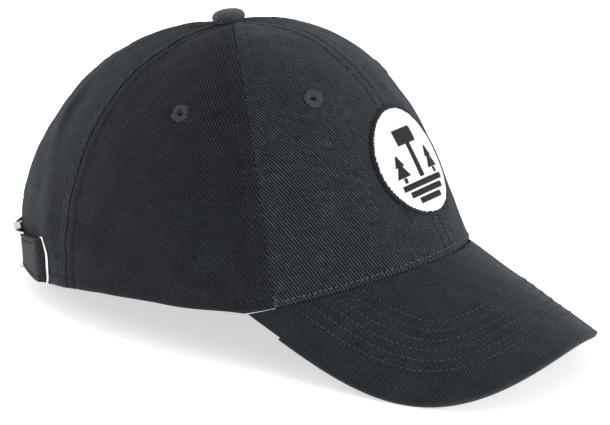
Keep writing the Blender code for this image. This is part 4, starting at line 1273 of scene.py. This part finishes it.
def build_motif(material):
    """Satin-stitched bars, their threads across each bar."""
    points = []
    faces = []
    uvs = []
    for bar in MOTIF:
        start = np.array([bar.across_from, bar.up_from])
        end = np.array([bar.across_to, bar.up_to])
        length = np.linalg.norm(end - start)
        way = (end - start) / length
        side = np.array([-way[1], way[0]])
        count = max(int(length / 0.14), 8)
        share = np.linspace(0.0, 1.0, count)
        half = 0.5 * (bar.width_from + share * (bar.width_to - bar.width_from))
        thread_shape = np.abs(np.sin(math.pi * share * length / 0.55))
        half = half + 0.10 * thread_shape
        ends = np.minimum(1.0, np.minimum(share, 1.0 - share) * length / 0.35)
        levels = ((-1.0, 0.0), (-0.97, 0.55), (-0.6, 0.95), (0.0, 1.0), (0.6, 0.95), (0.97, 0.55), (1.0, 0.0))
        base = len(points)
        for across, high in levels:
            place = start + (share * length)[:, None] * way + (across * half)[:, None] * side
            stand = BADGE_STAND + 0.6 + (0.55 + 0.10 * thread_shape) * high * ends
            points.extend(badge_points(place[:, 0], place[:, 1], stand))
            uvs.extend(np.stack([share * length, across * half], axis=-1))
        for level in range(len(levels) - 1):
            for step in range(count - 1):
                a = base + level * count + step
                faces.append((a, a + 1, a + 1 + count, a + count))
    mesh = mesh_of("badge_picture", to_world(np.array(points)), faces, np.array(uvs))
    return place_piece("badge_picture", mesh, material)


def build_button(material):
    """The covered button, its cloth drawn tight over a dome and gathered under the edge."""
    angles = np.radians(np.arange(0.0, 360.0, 10.0))
    around = smooth_crown(angles, tip_tall(angles) - 0.012)
    seat = float(np.max(around[:, 2])) - 0.35
    angles = np.radians(np.arange(0.0, 360.0, 2.5))
    profile = []
    for angle in np.radians(np.linspace(90.0, -24.0, 30)):
        radius = max(BUTTON_RADIUS * max(math.cos(angle), 0.0) ** 0.74, 0.01)
        height = 0.43 * BUTTON_HEIGHT + 0.57 * BUTTON_HEIGHT * math.sin(angle)
        profile.append((radius, height))
    profile += [(0.86 * BUTTON_RADIUS, 0.03 * BUTTON_HEIGHT), (0.72 * BUTTON_RADIUS, -0.25), (3.0, -0.6)]
    profile += [(2.9, -3.6), (0.01, -3.6)]
    rows = []
    flat = []
    arc = 0.0
    before = profile[0]
    for radius, height in profile:
        arc += math.hypot(radius - before[0], height - before[1])
        before = (radius, height)
        low = 1.0 - ease(np.array(height), 0.0, 0.75 * BUTTON_HEIGHT)
        pleat = 1.0 + 0.022 * low * (np.sin(11.0 * angles) + 0.6 * np.sin(17.0 * angles + 1.0))
        rows.append(np.stack([BUTTON_PLACE[0] + radius * pleat * np.cos(angles),
                              BUTTON_PLACE[1] + radius * pleat * np.sin(angles),
                              np.full(angles.shape, seat + height)], axis=-1))
        flat.append(np.stack([arc * np.sin(angles), arc * np.cos(angles)], axis=-1))
    mesh = grid_mesh("covered_button", (np.stack(rows),), closed=True, uv=np.stack(flat))
    return place_piece("covered_button", mesh, material, ("top_button",))


# The strap and its metal.
def band_pair(turn, low, high, lift, width):
    """A band's lower and upper edge points at some turns."""
    turn = np.radians(turn)
    foot = smooth_crown(turn, 0.0) + low[:, None] * crown_normal(turn, np.zeros(turn.shape))
    foot[:, 2] = smooth_crown(turn, 0.0)[:, 2] + lift
    tall = tall_at(turn, width + lift)
    head = smooth_crown(turn, tall) + high[:, None] * crown_normal(turn, tall)
    head[:, 2] = foot[:, 2] + width
    return foot, head


def band_run(rows, full, step=0.2, reach=4):
    """A band's lower and upper middle points along its stations, drawn smooth."""
    table = np.array(sorted(rows))
    turns = np.arange(table[0, 0], table[-1, 0] + 0.5 * step, step)
    columns = [smoothed(np.interp(turns, table[:, 0], table[:, k]), reach) for k in (1, 2, 3, 4)]
    low, high, lift, gather = columns
    return band_pair(turns, low, high, lift, full - gather)


def smoothed(values, reach):
    """A moving average that keeps both ends."""
    kernel = bell(np.linspace(-2.2, 2.2, 2 * reach + 1))
    kernel = kernel / kernel.sum()
    padded = np.concatenate([np.full(reach, values[0]), values, np.full(reach, values[-1])])
    return np.convolve(padded, kernel, mode="valid")


def cloth_band(name, foot, head, thick, material, node, hem=0.0):
    """A flat band between its two edge lines, with rounded edges and, for a strap, hem rows."""
    middle = 0.5 * (foot + head)
    way = unit(np.gradient(middle, axis=0))
    rise = head - foot
    width = np.linalg.norm(rise, axis=1)
    normal = unit(np.cross(way, rise))
    along = running(np.linalg.norm(np.diff(middle, axis=0), axis=1))
    half = 0.5 * thick
    sides = [(share, 1.0) for share in np.linspace(0.0, 1.0, 23)]
    sides += [(1.0, math.sin(tip)) for tip in np.radians(np.linspace(60.0, -60.0, 5))]
    sides += [(share, -1.0) for share in np.linspace(1.0, 0.0, 23)]
    sides += [(0.0, math.sin(tip)) for tip in np.radians(np.linspace(-60.0, 60.0, 5))]
    rows = []
    flat = []
    for share, side in sides:
        from_edge = min(share, 1.0 - share) * width
        place = foot + share * rise
        if abs(side) == 1.0:
            rounding = 0.45 * np.maximum(0.0, 0.6 - from_edge)
            deep = side * (half - rounding)
            if hem > 0.0:
                deep = deep - 0.20 * side * mound(from_edge - hem, 0.5)
                deep = deep + 0.08 * np.sin(2.0 * math.pi * along / 5.1) * mound(from_edge - hem, 1.5)
        else:
            deep = np.full(along.shape, side * half)
            sign = 1.0 if share > 0.5 else -1.0
            inset = half * math.sqrt(max(0.0, 1.0 - side * side)) - half
            place = place + sign * inset * rise / width[:, None]
        rows.append(place + deep[:, None] * normal)
        flat.append(np.stack([along, share * width], axis=-1))
    rows.append(rows[0])
    flat.append(flat[0])
    mesh = grid_mesh(name, (np.stack(rows),), uv=np.stack(flat))
    place_piece(name, mesh, material, (node,))
    return normal, width


def build_strap(material):
    """The strap, and its four rows of stitches for the hem's piece."""
    foot, head = band_run(STRAP, STRAP_WIDTH)
    normal, width = cloth_band("cloth_strap", foot, head, STRAP_THICK, material, "strap", STRAP_HEM)
    rise = head - foot
    keep = slice(10, -10)
    runs = []
    for edge in (0.0, 1.0):
        share = np.abs(edge - STRAP_HEM / width)[:, None]
        for side in (1.0, -1.0):
            path = (foot + share * rise + side * (0.5 * STRAP_THICK - 0.14) * normal)[keep]
            runs.append(stitch_tube(path, side * normal[keep], 0.5, *STRAP_SEWING, len(runs) + 71))
    return runs


def buckle_axes():
    """Centre, along, outward and upward directions of the buckle on the strap."""
    ends = np.array([row for row in STRAP if row.turn in BUCKLE_ENDS])
    foot, head = band_pair(ends[:, 0], ends[:, 1], ends[:, 2], ends[:, 3], STRAP_WIDTH - ends[:, 4])
    middle = 0.5 * (foot + head)
    along = middle[0] - middle[1]
    along = along / np.linalg.norm(along)
    upward = (head - foot).sum(axis=0)
    upward = upward - np.dot(upward, along) * along
    upward = upward / np.linalg.norm(upward)
    outward = np.cross(upward, along)
    return middle.mean(axis=0), along, -outward if outward[0] > 0.0 else outward, upward


def build_lever(material):
    """The buckle's closed lever plate, rounded at its corners and bent to the strap in front."""
    centre, along, outward, upward = buckle_axes()
    start, end, high = LEVER_START, LEVER_END, 0.5 * BUCKLE_WIDTH
    rings = []
    arcs = ((end, high, 0.0), (start, high, 90.0), (start, -high, 180.0), (end, -high, 270.0))
    outline = []
    for x, z, first in arcs:
        for angle in np.radians(np.linspace(first, first + 90.0, 9)):
            out = np.array([math.cos(angle), math.sin(angle)])
            inner = np.array([x - LEVER_CORNER * np.sign(x - 0.5 * (start + end)),
                              z - LEVER_CORNER * np.sign(z)])
            outline.append((*(inner + LEVER_CORNER * out), *out))
    for k in range(4):
        here = outline[9 * k + 8]
        after = outline[(9 * k + 9) % 36]
        rings.extend(outline[9 * k:9 * k + 9])
        for share in np.linspace(0.0, 1.0, 14)[1:-1]:
            rings.append(tuple(np.array(here) * (1.0 - share) + np.array(after) * share))
    rings = np.array(rings)
    middle = np.array([0.5 * (start + end), 0.0])
    half = 0.5 * LEVER_THICK
    profile = [(0.01, 0.0, half), (0.35, 0.0, half), (0.65, 0.0, half), (0.88, 0.0, half)]
    profile += [(1.0, 0.35 * (1.0 - math.sin(a)), half - 0.35 * (1.0 - math.cos(a)))
                for a in np.radians(np.linspace(0.0, 90.0, 5))]
    profile += [(share, inset, -deep) for share, inset, deep in profile[::-1]]
    rows = []
    for share, inset, deep in profile:
        flat = middle + share * (rings[:, :2] - middle) - inset * rings[:, 2:]
        bend = LEVER_STAND - 0.02 * np.maximum(flat[:, 0] - 4.0, 0.0) ** 2 - 0.006 * flat[:, 1] ** 2
        rows.append(centre + flat[:, :1] * along + (bend + deep)[:, None] * outward + flat[:, 1:] * upward)
    mesh = grid_mesh("buckle_plate", (np.stack(rows),), closed=True)
    return place_piece("buckle_plate", mesh, material, ("buckle_lever",))


def build_loop(material):
    """The short loop that ties the buckle's bar to the right rear panel."""
    centre, along, outward, upward = buckle_axes()
    half = 0.5 * LOOP_WIDTH
    foot = []
    head = []
    for x, y in LOOP_BENDS:
        middle = centre + x * along + y * outward
        foot.append(middle - half * upward)
        head.append(middle + half * upward)
    rows = np.array(LOOP)
    low, high = band_pair(rows[:, 0], rows[:, 1], rows[:, 2], rows[:, 3], LOOP_WIDTH - rows[:, 4])
    foot = np.concatenate([np.array(foot), low])
    head = np.concatenate([np.array(head), high])
    for _ in range(3):
        foot = cut_corners(foot)
        head = cut_corners(head)
    cloth_band("cloth_loop", foot, head, LOOP_THICK, material, "buckle_loop")


def cut_corners(line):
    """One round of corner cutting, which turns a bent line into a smooth one."""
    near = 0.75 * line[:-1] + 0.25 * line[1:]
    far = 0.25 * line[:-1] + 0.75 * line[1:]
    inside = np.stack([near, far], axis=1).reshape(-1, 3)
    return np.concatenate([line[:1], inside, line[-1:]])


def build_rim(material):
    """The bright rim round the slot: a flat band, wide in front and narrow at both ends."""
    angles = np.radians(np.arange(0.0, 360.0, 3.0))
    front = np.sin(angles) > 0.0
    reach = np.where(front, RIM_FRONT, RIM_BACK)
    side = np.abs(np.sin(angles)) ** 0.8
    wide = np.where(front, 0.7 + 1.3 * side, 0.6 + 0.4 * side)
    rows = []
    around = np.radians(np.arange(0.0, 361.0, 30.0))
    for tip in around:
        shift = 0.5 * wide * math.cos(tip)
        along = (reach + shift) * np.sin(angles)
        up = (RIM_TALL + shift) * np.cos(angles)
        turn = math.radians(SLOT_TURN) - along / 85.0
        rise = np.maximum(SLOT_RISE + up, 0.0)
        stand = 0.55 + 0.42 * math.sin(tip)
        point = crown(turn, tall_at(turn, rise), stand)
        point[:, 2] = point[:, 2] + np.minimum(SLOT_RISE + up, 0.0)
        rows.append(point)
    mesh = grid_mesh("slot_band", (np.stack(rows),), closed=True)
    return place_piece("slot_band", mesh, material, ("slot_rim",))


def dress_node(name, material, bevel):
    """A rigid CAD piece keeps its shape and gets softened edges and its finish."""
    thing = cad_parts[name]
    thing.data.materials.clear()
    thing.data.materials.append(material)
    step = thing.modifiers.new("soft_edges", "BEVEL")
    step.width = bevel * MM
    step.segments = 3
    step.limit_method = "ANGLE"
    step.angle_limit = math.radians(35.0)


# The stage.
def view_axes():
    """Right, up and back directions of the camera in the crown's frame."""
    turn, rise, roll = VIEW_TURN, VIEW_RISE, VIEW_ROLL
    right = np.array([math.sin(turn), -math.cos(turn), 0.0])
    up = np.array([-math.cos(turn) * math.sin(rise), -math.sin(turn) * math.sin(rise), math.cos(rise)])
    back = np.array([math.cos(turn) * math.cos(rise), math.sin(turn) * math.cos(rise), math.sin(rise)])
    rolled_right = right * math.cos(roll) + up * math.sin(roll)
    rolled_up = -right * math.sin(roll) + up * math.cos(roll)
    return rolled_right, rolled_up, back


def add_camera():
    """The camera at the photograph's angle, shifted by its place alone to fit the frame."""
    right, up, back = view_axes()
    aim = np.array(VIEW_CENTRE)
    aim = aim + right * (0.5 * PHOTO_SIZE[0] - VIEW_MIDDLE[0]) / VIEW_SCALE
    aim = aim - up * (0.5 * PHOTO_SIZE[1] - VIEW_MIDDLE[1]) / VIEW_SCALE
    place = aim + VIEW_DISTANCE * back
    centre = to_world(place)
    tip = to_world(place + up)
    behind = to_world(place + back)
    upward = Vector((tip - centre).tolist()).normalized()
    backward = Vector((behind - centre).tolist()).normalized()
    rightward = upward.cross(backward)
    data = bpy.data.cameras.new("camera")
    data.sensor_fit = "HORIZONTAL"
    data.sensor_width = SENSOR
    data.lens = SENSOR * VIEW_SCALE * VIEW_DISTANCE / PHOTO_SIZE[0]
    camera = bpy.data.objects.new("camera", data)
    turned = Matrix((rightward, upward, backward)).transposed().to_4x4()
    camera.matrix_world = Matrix.Translation(Vector(centre.tolist())) @ turned
    bpy.context.scene.collection.objects.link(camera)
    bpy.context.scene.camera = camera


Light = namedtuple("Light", "name place size power aim")
LIGHTS = (
    Light("top_softbox", (0.15, 0.35, 1.5), 1.2, 7.0, (0.0, 0.0, 0.05)),
    Light("left_softbox", (-0.5, 1.3, 0.6), 0.8, 5.0, (0.0, 0.06, 0.06)),
    Light("front_softbox", (-0.1, -1.4, 0.30), 0.8, 15.0, (0.0, -0.06, 0.04)),
)
FLOOR_REACH = 4.0
FLOOR_GLOW = 0.6
WORLD_GLOW = 0.5


def add_light(name, place, size, power, aim):
    data = bpy.data.lights.new(name, "AREA")
    data.shape = "RECTANGLE"
    data.size = size
    data.size_y = size
    data.energy = power
    light = bpy.data.objects.new(name, data)
    light.location = place
    way = Vector(aim) - Vector(place)
    light.rotation_euler = way.to_track_quat("-Z", "Y").to_euler()
    bpy.context.scene.collection.objects.link(light)


def add_stage():
    """The floor card, the even surround and the soft lights."""
    mesh = bpy.data.meshes.new("floor")
    reach = FLOOR_REACH
    corners = [(-reach, -reach, 0.0), (reach, -reach, 0.0), (reach, reach, 0.0), (-reach, reach, 0.0)]
    mesh.from_pydata(corners, [], [(0, 1, 2, 3)])
    material, tree, shader = new_material("floor_card", (0.93, 0.93, 0.93), 0.85)
    where = add_node(tree, "ShaderNodeTexCoord").outputs["Object"]
    grain = math_node(tree, "SUBTRACT", noise(tree, where, 60.0, 2.0), 0.5)
    tinted(tree, shader, math_node(tree, "MULTIPLY", grain, 0.02), 2.0, (0.93, 0.93, 0.93))
    shader.inputs["Emission Color"].default_value = (1.0, 1.0, 1.0, 1.0)
    shader.inputs["Emission Strength"].default_value = FLOOR_GLOW
    mesh.materials.append(material)
    floor = bpy.data.objects.new("floor", mesh)
    bpy.context.scene.collection.objects.link(floor)
    bpy.context.scene.view_settings.view_transform = "Standard"
    world = bpy.data.worlds.new("studio")
    world.use_nodes = True
    background = world.node_tree.nodes["Background"]
    background.inputs["Color"].default_value = (1.0, 1.0, 1.0, 1.0)
    background.inputs["Strength"].default_value = WORLD_GLOW
    bpy.context.scene.world = world
    for light in LIGHTS:
        add_light(*light)


# Cloths: colour, how far the ribs lean in degrees, rib pitch, tone contrast of the ribs and of
# the brushing, relief in millimetres and sheen. All are one black twill: the side's darker colour
# is painted shade, and the strap's and button's lighter colours are painted light.
Cloth = namedtuple("Cloth", "name colour lean pitch contrast brushed depth sheen")
CROWN_LEAN = 28.0
CROWN_PITCH = 1.21
FRONT = Cloth("front_twill_cloth", (0.0128, 0.0152, 0.0188), CROWN_LEAN, CROWN_PITCH, 1.20, 0.95, 0.16, 0.13)
# Painted shade: the side gores' cloth is set darker than the front's to stand in for the shade on them.
SIDE = Cloth("side_twill_cloth", (0.0096, 0.0112, 0.0140), CROWN_LEAN, CROWN_PITCH, 0.85, 0.95, 0.15, 0.10)
REAR = Cloth("rear_twill_cloth", (0.0122, 0.0144, 0.0176), CROWN_LEAN, CROWN_PITCH, 0.60, 1.10, 0.14, 0.14)
PEAK = Cloth("peak_twill_cloth", (0.0146, 0.0172, 0.0208), 78.0, 1.2, 0.60, 1.00, 0.13, 0.16)
# Painted light: the strap's cloth is set lighter than the crown's to stand in for the light it catches.
STRAP_CLOTH = Cloth("strap_twill_cloth", (0.0240, 0.0262, 0.0300), 35.0, 1.2, 0.7, 0.7, 0.16, 0.22)
# Painted light: the button's cloth is set lighter to stand in for the top light falling on it.
BUTTON = Cloth("button_twill_cloth", (0.0520, 0.0560, 0.0630), CROWN_LEAN, 1.3, 0.8, 0.7, 0.18, 0.30)
BADGE = Cloth("badge_white_cloth", (0.80, 0.80, 0.795), 45.0, 0.7, 0.04, 0.04, 0.05, 0.1)

FRONT_TWILL, SHADED_SIDE_TWILL, REAR_TWILL, PEAK_TWILL, LIT_STRAP_TWILL, LIT_BUTTON_TWILL, BADGE_CLOTH = (
    twill(*row) for row in (FRONT, SIDE, REAR, PEAK, STRAP_CLOTH, BUTTON, BADGE))

# Threads: colour, pitch of the strands, sheen and how strongly light specks stand out.
Yarn = namedtuple("Yarn", "name colour pitch sheen specks")
CROWN_THREAD = thread(*Yarn("crown_thread", (0.0135, 0.0150, 0.0172), 0.5, 0.1, 1.9))
PEAK_THREAD = thread(*Yarn("peak_thread", (0.036, 0.040, 0.045), 0.5, 0.15, 0.5))
FRONT_THREAD = thread(*Yarn("front_thread", (0.060, 0.066, 0.073), 0.5, 0.15, 0.8))
EYELET_THREAD = thread(*Yarn("eyelet_thread", (0.036, 0.041, 0.048), 0.9, 0.15, 1.2))
EDGE_THREAD = thread(*Yarn("edge_thread", (0.008, 0.009, 0.010), 0.9, 0.08, 0.0))
PICTURE_THREAD = thread(*Yarn("picture_thread", (0.010, 0.011, 0.013), 0.55, 0.10, 0.0))
METAL = bright_metal()
CLOTHS = {"front": FRONT_TWILL, "side": SHADED_SIDE_TWILL, "rear": REAR_TWILL}

for gore in GORES:
    build_gore(gore, CLOTHS[gore.name.split("_")[0]])
build_peak(PEAK_TWILL)
build_button(LIT_BUTTON_TWILL)
for eyelet in EYELETS:
    build_eyelet(eyelet, EYELET_THREAD)
build_badge_field(BADGE_CLOTH)
build_badge_edge(EDGE_THREAD)
build_motif(PICTURE_THREAD)
strap_stitches = build_strap(LIT_STRAP_TWILL)
join_stitches("seam_stitches", seam_runs(), CROWN_THREAD)
join_stitches("hem_stitches", hem_runs() + strap_stitches, CROWN_THREAD)
join_stitches("front_stitches", front_runs() + bar_tacks(), FRONT_THREAD)
join_stitches("peak_stitches", peak_runs(), PEAK_THREAD)
dress_node("buckle_frame", METAL, 0.25)
build_lever(METAL)
build_rim(METAL)
build_loop(LIT_STRAP_TWILL)

add_stage()
add_camera()
